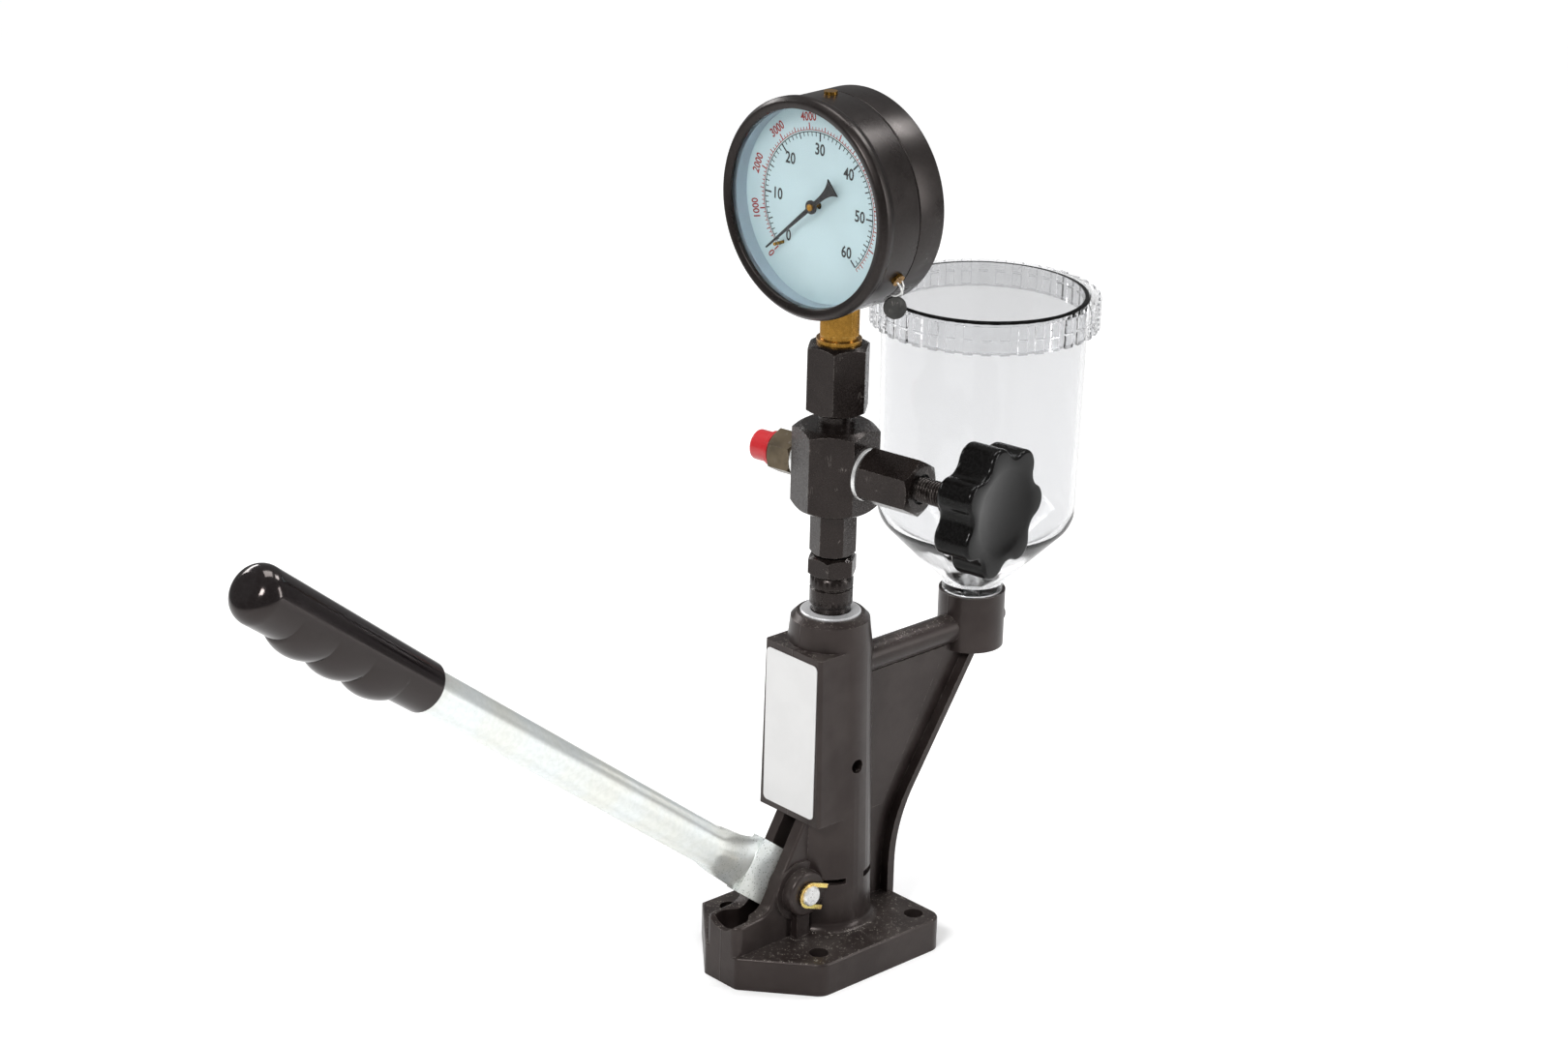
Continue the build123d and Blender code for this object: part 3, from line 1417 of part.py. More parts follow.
with BuildPart() as sector_gear:
    with BuildSketch(gauge_plane(gear_back, 90, sector_pivot)):
        rim_radius = sector_pitch_radius - sector_rim
        rim_middle = -sector_last * sector_step / 2
        with BuildLine():
            low_end = polar(rim_radius, -(sector_last + 1) * sector_step)
            high_end = polar(rim_radius, (sector_spare + 1) * sector_step)
            Polyline(low_end, *gear_outline(sector_teeth, -sector_last, sector_spare), high_end)
            ThreePointArc(high_end, polar(rim_radius, rim_middle), low_end)
        make_face()
        with Locations(Location(polar(rim_radius / 2, rim_middle), rim_middle)):
            Rectangle(rim_radius + sector_rim, sector_arm)
    extrude(amount=sector_thickness)
    with BuildSketch(gauge_plane(gear_back, ear_angle, sector_pivot)):
        Circle(sector_hub_radius)
        with Locations((ear_distance, 0)):
            Circle(ear_radius)
        with Locations((ear_distance / 2, 0)):
            Rectangle(ear_distance, sector_arm)
    extrude(amount=sector_thickness)
    add(gauge_disc(socket_block_depth / 2, front_plate_front, arbor_radius, 0, sector_pivot))
    add(gauge_disc(gear_front, gear_front + soft_gap + link_thickness, link_pin_radius, 0, ear_place))
sector_gear.part.label = "sector_gear"
export_step(sector_gear.part, "parts/sector_gear.step")

# Link: a hole for the sector's pin and a slot for the stud on the tube's tip.
# It lies on the tangent line, so the pin strays from the hole's middle only near both ends.
link_back = gear_front + soft_gap
link_length = math.sqrt(post_reach**2 - ear_distance**2) + link_travel / 2
link_hole_radius = link_pin_radius + link_pin_gap
with BuildPart() as link_rod:
    with BuildSketch(gauge_plane(link_back, link_angle, post_place)):
        with Locations((-link_length / 2, 0)):
            SlotOverall(link_length + 2 * ear_radius, 2 * link_half_width)
        with Locations((-link_length, 0)):
            Circle(ear_radius)
            Circle(link_hole_radius, mode=Mode.SUBTRACT)
        with Locations((-link_travel / 2, 0)):
            SlotOverall(link_travel + 2 * ear_radius, 2 * ear_radius)
            SlotOverall(link_travel + 2 * link_hole_radius, 2 * link_hole_radius, mode=Mode.SUBTRACT)
    extrude(amount=link_thickness)
link_rod.part.label = "link_rod"
export_step(link_rod.part, "parts/link_rod.step")

# Movement plates on four pillars, screwed to the front of the socket block
with BuildPart() as movement_plates:
    for plate_start in (socket_block_depth / 2, front_plate_back):
        with BuildSketch(gauge_plane(plate_start)):
            with Locations((0, (plate_top + plate_bottom) / 2)):
                RectangleRounded(2 * plate_half_width, plate_top - plate_bottom, pillar_radius)
            with Locations((0, 0), sector_pivot):
                Circle(arbor_radius + running_gap, mode=Mode.SUBTRACT)
        extrude(amount=plate_thickness)
    for corner_x in (-1, 1):
        for corner_y in (plate_top - pillar_radius, plate_bottom + pillar_radius):
            corner = (corner_x * (plate_half_width - pillar_radius), corner_y)
            add(gauge_disc(back_plate_front, front_plate_back, pillar_radius, 0, corner))
movement_plates.part.label = "movement_plates"
export_step(movement_plates.part, "parts/movement_plates.step")

# Bourdon tube: a flattened tube bent into a C, from the socket block's side to its closed tip,
# which carries the stud for the link
bourdon_start_angle = -math.degrees(
    math.acos((socket_block_width / 2 + fit_gap) / (bourdon_radius - bourdon_thickness / 2))
)
bourdon_ray = Vector(*polar(1, bourdon_start_angle))
bourdon_out = gauge_right * bourdon_ray.X + Vector(0, 0, 1) * bourdon_ray.Y
bourdon_plane = Plane(
    origin=gauge_middle + gauge_forwards * bourdon_depth + bourdon_out * bourdon_radius,
    x_dir=bourdon_out,
    z_dir=bourdon_out.cross(gauge_forwards),
)
with BuildPart() as bourdon_tube:
    with BuildSketch(bourdon_plane):
        SlotOverall(bourdon_height, bourdon_thickness, rotation=90)
    revolve(axis=gauge_axis, revolution_arc=bourdon_tip_angle - bourdon_start_angle)
    tube_back = bourdon_depth - bourdon_height / 2
    add(gauge_disc(tube_back, link_back - soft_gap, tip_post_radius, 0, post_place))
    add(gauge_disc(link_back - soft_gap, link_back + link_thickness + soft_gap, link_pin_radius, 0, post_place))
bourdon_tube.part.label = "bourdon_tube"
export_step(bourdon_tube.part, "parts/bourdon_tube.step")

# Two screws through bezel and spigot
with BuildPart() as case_screws:
    for angle in case_screw_angles:
        disc_at(screw_plane(angle), case_screw_head_radius, 0, case_screw_head_height)
        disc_at(screw_plane(angle), case_screw_radius, 0, -case_screw_length)
case_screws.part.label = "case_screws"
export_step(case_screws.part, "parts/case_screws.step")

# Seal: a disc that hangs from the lower screw on two strands of wire
disc_out = Vector(math.cos(math.radians(seal_disc_turn)), math.sin(math.radians(seal_disc_turn)), 0)
disc_side = Vector(0, 0, 1).cross(disc_out)
disc_middle = gauge_plane(
    case_screw_depth, 0, polar(case_radius + seal_disc_gap, seal_disc_angle)
).origin
with BuildPart() as seal_disc:
    with BuildSketch(Plane(origin=disc_middle - disc_out * (seal_disc_thickness / 2), z_dir=disc_out)):
        Circle(seal_disc_radius)
    extrude(amount=seal_disc_thickness)
    fillet(edges().filter_by(GeomType.CIRCLE), seal_disc_thickness / 4)
seal_disc.part.label = "seal_disc"
export_step(seal_disc.part, "parts/seal_disc.step")

lower_screw = screw_plane(case_screw_angles[-1])
screw_crown = lower_screw.origin + lower_screw.z_dir * (case_screw_head_height + wire_radius + fit_gap)
with BuildPart() as seal_wire:
    for side in (-1, 1):
        wire_start = screw_crown + lower_screw.x_dir * (side * wire_loop_width / 2)
        wire_end = (
            disc_middle + Vector(0, 0, seal_disc_radius + wire_radius + fit_gap)
            + disc_side * (side * wire_loop_width / 2)
        )
        wire_middle = (wire_start + wire_end) / 2 + lower_screw.z_dir * wire_bow
        with BuildLine():
            strand = ThreePointArc(wire_start, wire_middle, wire_end)
        with BuildSketch(Plane(origin=strand @ 0, z_dir=strand % 0)):
            Circle(wire_radius)
        sweep(path=strand)
seal_wire.part.label = "seal_wire"
export_step(seal_wire.part, "parts/seal_wire.step")

# Screw plug at the outer end of the fuel duct
plug_plane = Plane(origin=(cup_x + socket_radius, 0, duct_z), x_dir=(0, 1, 0), z_dir=(1, 0, 0))
with BuildPart() as duct_plug:
    disc_at(plug_plane, plug_head_radius, 0, plug_head_height)
    fillet(edges().filter_by(GeomType.CIRCLE).group_by(Axis.X)[-1], plug_head_height / 2)
    disc_at(plug_plane, plug_radius, 0, -plug_depth)
duct_plug.part.label = "duct_plug"
export_step(duct_plug.part, "parts/duct_plug.step")

# Clear cup: straight side, round knee, cone, neck and the spigot in the socket
cup_axis = Axis((cup_x, 0, 0), (0, 0, 1))
cup_section = Plane(origin=(cup_x, 0, 0), x_dir=(1, 0, 0), z_dir=(0, -1, 0))
groove_z = (socket_floor_z + socket_top_z) / 2
groove_depth = cup_spigot_radius - socket_bore_radius + 2 * o_ring_section + 2 * fit_gap
with BuildPart() as fuel_cup:
    with BuildSketch(cup_section):
        with BuildLine():
            Polyline(
                (0, socket_floor_z + screen_thickness + fit_gap),
                (cup_spigot_radius, socket_floor_z + screen_thickness + fit_gap),
                (cup_spigot_radius, socket_top_z + fit_gap),
                (cup_neck_radius, socket_top_z + fit_gap),
                (cup_neck_radius, cup_neck_z),
                (cup_cone_radius, cup_cone_z),
                (cup_top_radius, cup_rim_z),
                (0, cup_rim_z),
                close=True,
            )
        make_face()
        fillet(vertices().sort_by_distance((cup_cone_radius, cup_cone_z))[0], cup_cone_round)
    revolve(axis=cup_axis)
    with BuildSketch(cup_section):
        with BuildLine():
            Polyline(
                (0, cup_neck_z + cup_wall),
                (cup_drain_radius, cup_neck_z + cup_wall),
                (cup_cone_radius - cup_wall, cup_cone_z + cup_wall / 2),
                (cup_top_radius - cup_wall, cup_rim_z + cut_overrun),
                (0, cup_rim_z + cut_overrun),
                close=True,
            )
        make_face()
        fillet(
            vertices().sort_by_distance((cup_cone_radius - cup_wall, cup_cone_z + cup_wall / 2))[0],
            cup_cone_round - cup_wall,
        )
    revolve(axis=cup_axis, mode=Mode.SUBTRACT)
    with Locations((cup_x, 0, 0)):
        Cylinder(
            cup_drain_radius, cup_cone_z, align=(Align.CENTER, Align.CENTER, Align.MIN), mode=Mode.SUBTRACT
        )
    with BuildSketch(cup_section):
        with Locations((cup_spigot_radius, groove_z)):
            Rectangle(2 * groove_depth, 2 * o_ring_section + 2 * fit_gap)
    revolve(axis=cup_axis, mode=Mode.SUBTRACT)
fuel_cup.part.label = "fuel_cup"
export_step(fuel_cup.part, "parts/fuel_cup.step")

with BuildPart() as cup_o_ring:
    with BuildSketch(cup_section):
        with Locations((socket_bore_radius - o_ring_section - fit_gap, groove_z)):
            Circle(o_ring_section)
    revolve(axis=cup_axis)
cup_o_ring.part.label = "cup_o_ring"
export_step(cup_o_ring.part, "parts/cup_o_ring.step")

with BuildPart() as filter_screen:
    with Locations((cup_x, 0, socket_floor_z)):
        Cylinder(
            socket_bore_radius - fit_gap, screen_thickness, align=(Align.CENTER, Align.CENTER, Align.MIN)
        )
filter_screen.part.label = "filter_screen"
export_step(filter_screen.part, "parts/filter_screen.step")

# Lid: a disc on the cup's rim with a skirt whose outside is a ring of blunt teeth
lid_inner_radius = cup_top_radius + running_gap + fit_gap
lid_outer_radius = lid_inner_radius + lid_ring_width
lid_tooth_radius = lid_outer_radius + lid_tooth_height
with BuildPart() as cup_lid:
    with BuildSketch(cup_section):
        with BuildLine():
            Polyline(
                (0, cup_rim_z),
                (lid_inner_radius, cup_rim_z),
                (lid_inner_radius, lid_ring_bottom_z),
                (lid_outer_radius, lid_ring_bottom_z),
                (lid_outer_radius, lid_shoulder_z),
                (lid_inner_radius, lid_top_z),
                (0, lid_top_z),
                close=True,
            )
        make_face()
    revolve(axis=cup_axis)
    tooth_width = 2 * math.pi * lid_outer_radius / lid_teeth * lid_tooth_fill_share
    row_pitch = (lid_shoulder_z - lid_ring_bottom_z + lid_row_gap) / lid_rows
    for row in range(lid_rows):
        with BuildSketch(Plane.XY.offset(lid_ring_bottom_z + row * row_pitch)):
            with Locations((cup_x, 0)):
                with PolarLocations((lid_outer_radius + lid_tooth_radius) / 2 - fit_gap, lid_teeth):
                    Rectangle(lid_tooth_radius - lid_outer_radius + 2 * fit_gap, tooth_width)
        extrude(amount=row_pitch - lid_row_gap)
cup_lid.part.label = "cup_lid"
export_step(cup_lid.part, "parts/cup_lid.step")
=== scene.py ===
"""Looks of a diesel injector tester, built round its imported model.

Laid out as an add-on: the sizes and colours are properties, each group of pieces has an
operator, and main() calls the operators in order. Lengths are in metres, as in the frame;
profiles and other small sizes that are in millimetres say so or are multiplied by MM.
"""

import json
import math

import bmesh
import bpy
import numpy as np
from bpy.props import FloatProperty, FloatVectorProperty, IntProperty, PointerProperty
from mathutils import Matrix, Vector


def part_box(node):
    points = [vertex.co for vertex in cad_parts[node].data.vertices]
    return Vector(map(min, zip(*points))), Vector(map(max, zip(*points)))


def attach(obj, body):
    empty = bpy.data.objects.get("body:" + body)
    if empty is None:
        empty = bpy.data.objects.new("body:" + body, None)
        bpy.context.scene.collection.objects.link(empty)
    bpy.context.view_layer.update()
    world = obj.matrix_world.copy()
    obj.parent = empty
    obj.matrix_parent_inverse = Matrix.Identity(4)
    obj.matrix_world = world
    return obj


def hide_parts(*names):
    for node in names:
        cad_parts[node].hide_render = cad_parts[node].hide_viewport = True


bl_info = {
    "name": "Injector tester",
    "version": (1, 0, 0),
    "blender": (4, 5, 0),
    "location": "3D View > Sidebar > Tester",
    "description": "Builds the pieces, finishes and stage of a diesel injector tester",
    "category": "Add Mesh",
}

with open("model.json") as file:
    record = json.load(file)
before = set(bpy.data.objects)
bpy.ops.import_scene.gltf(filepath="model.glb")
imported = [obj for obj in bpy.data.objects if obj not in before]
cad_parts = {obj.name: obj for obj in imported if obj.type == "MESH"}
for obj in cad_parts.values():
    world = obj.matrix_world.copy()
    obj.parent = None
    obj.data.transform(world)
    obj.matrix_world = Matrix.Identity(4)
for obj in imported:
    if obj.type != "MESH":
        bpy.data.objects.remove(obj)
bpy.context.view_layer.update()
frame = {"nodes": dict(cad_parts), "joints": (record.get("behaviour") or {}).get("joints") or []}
joints = {joint["name"]: joint for joint in frame["joints"]}

MM = 0.001
UP = np.array((0.0, 0.0, 1.0))
WHITE = (1.0, 1.0, 1.0)
SHARP_ANGLE = math.radians(32)  # an edge above this angle is sharp
FLAT_ANGLE = math.radians(0.6)  # faces under this angle are one flat side
MOST_CURVED_CORNERS = 8  # a face with more corners is one flat side of a solid
PINHOLE = 0.02  # radius in millimetres of the row that a turned surface starts or ends with
SEAT_GAP = 0.05  # millimetres between a computed surface and the piece that it sits on
MATERIALS = {}


# Places that pieces are built on


class Place:
    """An origin with three directions at right angles: side, up and out."""

    def __init__(self, origin, side, out):
        self.origin = np.array(origin, float)
        self.side = np.array(side, float) / np.linalg.norm(side)
        self.out = np.array(out, float) / np.linalg.norm(out)
        self.up = np.cross(self.out, self.side)

    def put(self, points):
        """Points given along side, up and out, as points of the frame."""
        return self.origin + points @ np.stack((self.side, self.up, self.out))

    def matrix(self):
        """The place as an object's matrix; a camera or lamp looks against out."""
        columns = np.eye(4)
        columns[:3] = np.stack((self.side, self.up, self.out, self.origin), -1)
        return Matrix(columns.tolist())


def gauge_place():
    """The gauge's centre; side is the reader's right and out points from the dial to the glass."""
    out = -np.array(joints["pointer_turn"]["axis"])
    return Place(joints["pointer_turn"]["pos_m"], np.cross(UP, out), out)


def valve_place():
    """The column's axis at the valve's height; out runs along the valve to the knob."""
    out = np.array(joints["valve_turn"]["axis"])
    return Place(joints["valve_turn"]["pos_m"], UP, out)


def lever_place(angle, offset):
    """The lever's axis beside its pin; out runs along the lever and up is its upper side."""
    along = np.array((-math.cos(angle), 0.0, math.sin(angle)))
    rise = np.array((math.sin(angle), 0.0, math.cos(angle)))
    origin = np.array(joints["lever_swing"]["pos_m"]) + rise * offset
    return Place(origin, np.cross(rise, along), along)


# Sizes and colours that a user may change


def length(name, text, value):
    return FloatProperty(name=name, description=text, default=value * MM, unit="LENGTH", precision=5)


def angle(name, text, degrees):
    return FloatProperty(name=name, description=text, default=math.radians(degrees), subtype="ANGLE")


def amount(name, text, value):
    return FloatProperty(name=name, description=text, default=value, subtype="FACTOR")


def colour(name, text, value):
    return FloatVectorProperty(
        name=name, description=text, default=value, subtype="COLOR", size=3, min=0.0, max=1.0
    )


class LeverSizes(bpy.types.PropertyGroup):
    angle: angle("Lever angle", "Rise of the lever at rest", 37.5)
    offset: length("Tube offset", "Distance of the tube's axis above the lever's pin", -2.0)
    grip_start: length("Grip start", "Distance of the grip's mouth from the pin", 268.5)
    grip_end: length("Grip end", "Distance of the grip's closed end from the pin", 383.0)
    grip_wall: length("Grip end wall", "Thickness of the closed end", 6.0)
    grip_radius: length("Grip radius", "Outside radius of the grip at its closed end", 13.6)
    mouth_radius: length("Mouth radius", "Outside radius of the grip at its mouth", 12.0)
    tube_radius: length("Tube radius", "Outside radius of the lever's tube", 10.0)
    bump_reach: length("Bump reach", "Reach of the finger bumps below the lever's axis", 16.9)
    notch_reach: length("Notch reach", "Reach of the notches between two bumps", 13.9)
    bump_pitch: length("Bump pitch", "Distance between two finger bumps", 22.6)
    bump_start: length("Bump start", "Distance of the bumps from the closed end", 25.7)
    bumps: IntProperty(name="Bumps", description="Number of finger bumps", default=3, min=0)


class ValveSizes(bpy.types.PropertyGroup):
    lobes: IntProperty(name="Lobes", description="Number of lobes of the knob", default=7, min=3)
    knob_radius: length("Knob radius", "Reach of a lobe", 31.5)
    valley_radius: length("Valley radius", "Reach of the knob between two lobes", 25.7)
    lobe_radius: length("Lobe radius", "Radius of a lobe's own circle", 7.8)
    knob_turn: angle("Knob turn", "Angle of the first lobe from the top", 10)
    boss_start: length("Boss start", "Distance of the knob's boss from the column's axis", 70.0)
    boss_radius: length("Boss radius", "Radius of the boss behind the knob", 16.0)
    knob_start: length("Knob start", "Distance of the knob's back from the column's axis", 76.0)
    knob_end: length("Knob end", "Distance of the knob's face from the column's axis", 95.0)
    face_dish: length("Face dish", "Depth of the shallow dish in the knob's face", 0.7)
    rod_radius: length("Spindle radius", "Outside radius of the spindle's thread", 5.9)
    thread_pitch: length("Thread pitch", "Pitch of the spindle's thread", 1.5)
    thread_depth: length("Thread depth", "Depth of the spindle's thread", 0.75)
    thread_start: length("Thread start", "Start of the spindle's visible thread", 44.0)
    collar_start: length("Collar start", "Start of the spindle's collar", 63.5)
    collar_radius: length("Collar radius", "Radius of the spindle's collar", 8.4)
    rod_start: length("Spindle start", "Distance of the spindle's inner end", 30.0)


class GaugeSizes(bpy.types.PropertyGroup):
    case_radius: length("Case radius", "Outside radius of the case", 50.0)
    bead_radius: length("Bead radius", "Radius of the rolled bead", 51.2)
    spigot_radius: length("Spigot radius", "Radius of the case inside the bezel", 47.9)
    window_radius: length("Window radius", "Radius of the opening over the glass", 45.5)
    back_depth: length("Back depth", "Depth of the case's back", -15.0)
    back_chamfer: length("Back chamfer", "Chamfer of the case's back edge", 2.4)
    seam_depth: length("Seam depth", "Depth of the seam between case and bezel", 3.0)
    bead_depth: length("Bead depth", "Depth at which the bead starts", 21.0)
    front_depth: length("Front depth", "Depth of the bezel's front", 28.0)
    lip: length("Lip", "Height of the lip that holds the glass", 3.0)
    dial_depth: length("Dial depth", "Depth of the dial's printed face", 16.0)
    print_thickness: length("Print thickness", "Thickness of the print on the dial", 0.04)
    inner_circle: length("Inner circle", "Radius of the circle of the inner scale", 33.5)
    outer_circle: length("Outer circle", "Radius of the circle of the outer scale", 34.4)
    inner_numbers: length("Inner numbers", "Radius on which the inner numbers stand", 25.6)
    outer_numbers: length("Outer numbers", "Radius on which the outer numbers stand", 40.2)
    inner_height: length("Inner number height", "Height of the inner numbers", 5.5)
    outer_height: length("Outer number height", "Height of the outer numbers", 4.2)
    zero: angle("Zero", "Place of the scales' zero, from the reader's right", 225)
    sweep: angle("Sweep", "Angle that the scales cover", 270)
    outer_step: angle("Outer step", "Angle between two marks of the outer scale", 3.1034)


class FinishColours(bpy.types.PropertyGroup):
    casting: colour("Casting", "Coated cast iron", (0.0165, 0.0118, 0.0110))
    coat_sheen: colour("Coat sheen", "Tint of the sheen on casting and gauge case", (1.0, 0.88, 0.84))
    dust: colour("Dust", "Specks on what faces up", (0.42, 0.38, 0.34))
    # lighter colour along the casting's edges: partly worn coating, partly a painted highlight
    casting_worn: colour("Casting, worn", "Coating rubbed at its edges", (0.150, 0.128, 0.120))
    steel: colour("Blackened steel", "Oxide on the steel fittings", (0.0062, 0.0044, 0.0039))
    steel_worn: colour("Blackened steel, worn", "Steel showing at edges", (0.30, 0.27, 0.25))
    golden: colour("Outlet steel", "Brownish plating of the outlet", (0.085, 0.066, 0.042))
    zinc: colour("Zinc", "Bluish plating of the lever", (0.85, 0.895, 0.89))
    zinc_tint: colour("Zinc tint", "Yellowish clouds in the plating", (0.84, 0.82, 0.70))
    bright: colour("Bright steel", "Ground steel", (0.86, 0.86, 0.85))
    yellow: colour("Yellow plating", "Plating of the clips", (0.80, 0.50, 0.16))
    aluminium: colour("Aluminium", "Turned aluminium", (0.84, 0.84, 0.85))
    brass: colour("Brass", "Stem, screws and hub", (0.22, 0.112, 0.018))
    brass_worn: colour("Brass, worn", "Brass rubbed at its edges", (0.85, 0.58, 0.20))
    case: colour("Gauge case", "Lacquer of the gauge", (0.0075, 0.0058, 0.0054))
    dial: colour("Dial", "Printed face of the dial", (0.43, 0.56, 0.585))
    dial_wall: colour("Dial wall", "Spacer ring round the dial", (0.33, 0.42, 0.48))
    print_black: colour("Black print", "Inner scale", (0.006, 0.006, 0.007))
    print_red: colour("Red print", "Outer scale", (0.27, 0.012, 0.008))
    knob: colour("Knob", "Phenolic of the knob", (0.0030, 0.0027, 0.0026))
    grip: colour("Grip", "Dipped vinyl of the grip", (0.0060, 0.0044, 0.0048))
    cap: colour("Dust cap", "Soft red plastic", (0.50, 0.012, 0.018))
    glass: colour("Glass", "Glass of the gauge", WHITE)
    clear: colour("Clear plastic", "Cup and lid", (0.795, 0.798, 0.805))
    plate: colour("Label plate", "Bare white plate", (0.72, 0.715, 0.71))
    lead: colour("Seal", "Disc of the seal", (0.045, 0.044, 0.042))
    rubber: colour("Rubber", "O-ring and washers", (0.012, 0.012, 0.012))
    floor: colour("Floor", "Plain pale floor", (0.90, 0.90, 0.90))


class StageSettings(bpy.types.PropertyGroup):
    camera_x: length("Camera X", "Place of the camera", -1110.2)
    camera_y: length("Camera Y", "Place of the camera", -1140.0)
    camera_z: length("Camera Z", "Height of the camera", 829.0)
    turn: angle("Turn", "Azimuth of the view", -43.41)
    tilt: angle("Tilt", "Height of the view", 21.0)
    roll: angle("Roll", "Roll of the camera", 1.5)
    lens: FloatProperty(name="Lens", description="Focal length", default=83.64, unit="CAMERA")
    floor_size: length("Floor size", "Side of the floor", 24000.0)
    glow: amount("Floor glow", "Own light of the floor, as seen, at the tester", 0.16)
    far_glow: amount("Far floor glow", "Own light of the far floor, as seen", 0.76)
    glow_reach: length("Glow reach", "Distance from the tester at which the far floor starts", 3000.0)
    ambient: amount("Ambient", "Strength of the surroundings", 0.25)


GROUPS = {
    "tester_lever": LeverSizes,
    "tester_valve": ValveSizes,
    "tester_gauge": GaugeSizes,
    "tester_colours": FinishColours,
    "tester_stage": StageSettings,
}


# Surfaces


def shown(name, mesh):
    """A mesh as an object of the scene, smooth but for its sharp edges."""
    made = bpy.data.objects.new(name, mesh)
    bpy.context.scene.collection.objects.link(made)
    mesh.shade_smooth()
    mesh.set_sharp_from_angle(angle=SHARP_ANGLE)
    return made


def piece_from(name, points, faces):
    """A mesh object from an array of points and an array or list of faces, turned outwards.

    The volume is the sum, over the faces cut into triangles from their first corner, of the
    box product of the corners over six; where it is negative, every face is reversed.
    """
    faces = [tuple(face) for face in faces]
    corners = np.array([(f[0], f[k], f[k + 1]) for f in faces for k in range(1, len(f) - 1)])
    a, b, c = (points[corners[:, k]] - points.mean(0) for k in range(3))
    if np.einsum("ij,ij->i", a, np.cross(b, c)).sum() < 0:
        faces = [face[::-1] for face in faces]
    mesh = bpy.data.meshes.new(name)
    mesh.from_pydata(points.tolist(), [], faces)
    mesh.validate()
    return shown(name, mesh)


def grid_faces(rows, columns, ring=False):
    """Corners of the four-sided faces between rows of a grid; the columns close on themselves,
    and with ring the last row joins the first."""
    row = np.arange(rows if ring else rows - 1)[:, None]
    column = np.arange(columns)[None, :]
    after, beside = (row + 1) % rows * columns, (column + 1) % columns
    corners = (row * columns + column, row * columns + beside, after + beside, after + column)
    return np.stack(np.broadcast_arrays(*corners), -1).reshape(-1, 4)


def closed_grid(name, grid):
    """A piece from rows of points; the first and last row are each closed to their middle."""
    rows, columns = grid.shape[:2]
    points = np.concatenate((grid.reshape(-1, 3), grid[0].mean(0)[None], grid[-1].mean(0)[None]))
    column = np.arange(columns)
    beside = (column + 1) % columns
    last_row = (rows - 1) * columns
    first = np.stack((np.full(columns, rows * columns), beside, column), -1)
    last = np.stack((np.full(columns, rows * columns + 1), column + last_row, beside + last_row), -1)
    return piece_from(name, points, [*grid_faces(rows, columns).tolist(), *first.tolist(), *last.tolist()])


def rounded(profile, radius, steps=5, closed=True, largest_share=0.45):
    """A profile in millimetres, with each corner replaced by a parabola's arc, in metres.

    From a corner P with neighbours A and B, the arc runs from P + (A-P)d/|A-P| to
    P + (B-P)d/|B-P|, where d is the smaller of the radius and the largest share of the
    shorter side. A profile that isn't closed keeps its first and last corner.
    """
    corner = np.array(profile, float) * MM
    to_before, to_after = np.roll(corner, 1, 0) - corner, np.roll(corner, -1, 0) - corner
    size_before = np.linalg.norm(to_before, axis=1, keepdims=True)
    size_after = np.linalg.norm(to_after, axis=1, keepdims=True)
    cut = np.minimum(radius * MM, largest_share * np.minimum(size_before, size_after))
    start, end = corner + to_before / size_before * cut, corner + to_after / size_after * cut
    t = np.linspace(0, 1, steps)[None, :, None]
    arcs = (1 - t) ** 2 * start[:, None] + 2 * t * (1 - t) * corner[:, None] + t**2 * end[:, None]
    if closed:
        return arcs.reshape(-1, 2)
    return np.concatenate((corner[:1], arcs[1:-1].reshape(-1, 2), corner[-1:]))


def millimetres(sizes, *keys):
    """Lengths of a property group, in millimetres."""
    return [getattr(sizes, key) / MM for key in keys]


def full_turn(sides):
    return np.linspace(0, 2 * math.pi, sides, endpoint=False)


def quarter_turn(steps):
    return np.linspace(0, math.pi / 2, steps)


def swept(radius, around, depth):
    """Points at radii, angles and depths: radius cos, radius sin, depth."""
    return np.stack(np.broadcast_arrays(radius * np.cos(around), radius * np.sin(around), depth), -1)


def turned_grid(place, profile, sides=192):
    """Points of a profile of radii and depths, turned about the place's out direction."""
    return place.put(swept(profile[:, 0, None], full_turn(sides), profile[:, 1, None]))


def merged_copy(node, name, edge, merge_distance=0.002 * MM, segments=3):
    """A copy of a CAD node with its corners merged, its flat faces joined and shaded flat, and its
    edges rounded."""
    mesh = bpy.data.meshes.new(name)
    work = bmesh.new()
    work.from_mesh(frame["nodes"][node].data)
    bmesh.ops.remove_doubles(work, verts=work.verts, dist=merge_distance)
    bmesh.ops.dissolve_limit(
        work, angle_limit=FLAT_ANGLE, verts=work.verts, edges=work.edges, delimit=set()
    )
    bmesh.ops.recalc_face_normals(work, faces=work.faces)
    work.to_mesh(mesh)
    work.free()
    if "custom_normal" in mesh.attributes:
        mesh.attributes.remove(mesh.attributes["custom_normal"])
    piece = shown(name, mesh)
    corners = np.zeros(len(mesh.polygons), int)
    mesh.polygons.foreach_get("loop_total", corners)
    mesh.polygons.foreach_set("use_smooth", corners <= MOST_CURVED_CORNERS)
    bevel = piece.modifiers.new("rounded_edges", "BEVEL")
    bevel.width = edge * MM
    bevel.segments = segments
    bevel.limit_method = "ANGLE"
    bevel.angle_limit = SHARP_ANGLE
    bevel.harden_normals = True
    bevel.use_clamp_overlap = True
    bevel.miter_outer = "MITER_ARC"
    return piece


# Shader building; a value is a number, a colour, a vector or a socket


def feed(tree, sockets, values):
    """Gives sockets their values: one that is a socket itself is linked."""
    for socket, value in zip(sockets, values):
        if isinstance(value, bpy.types.NodeSocket):
            tree.links.new(value, socket)
        elif socket.type == "RGBA":
            socket.default_value = (*value, 1.0)
        else:
            socket.default_value = value


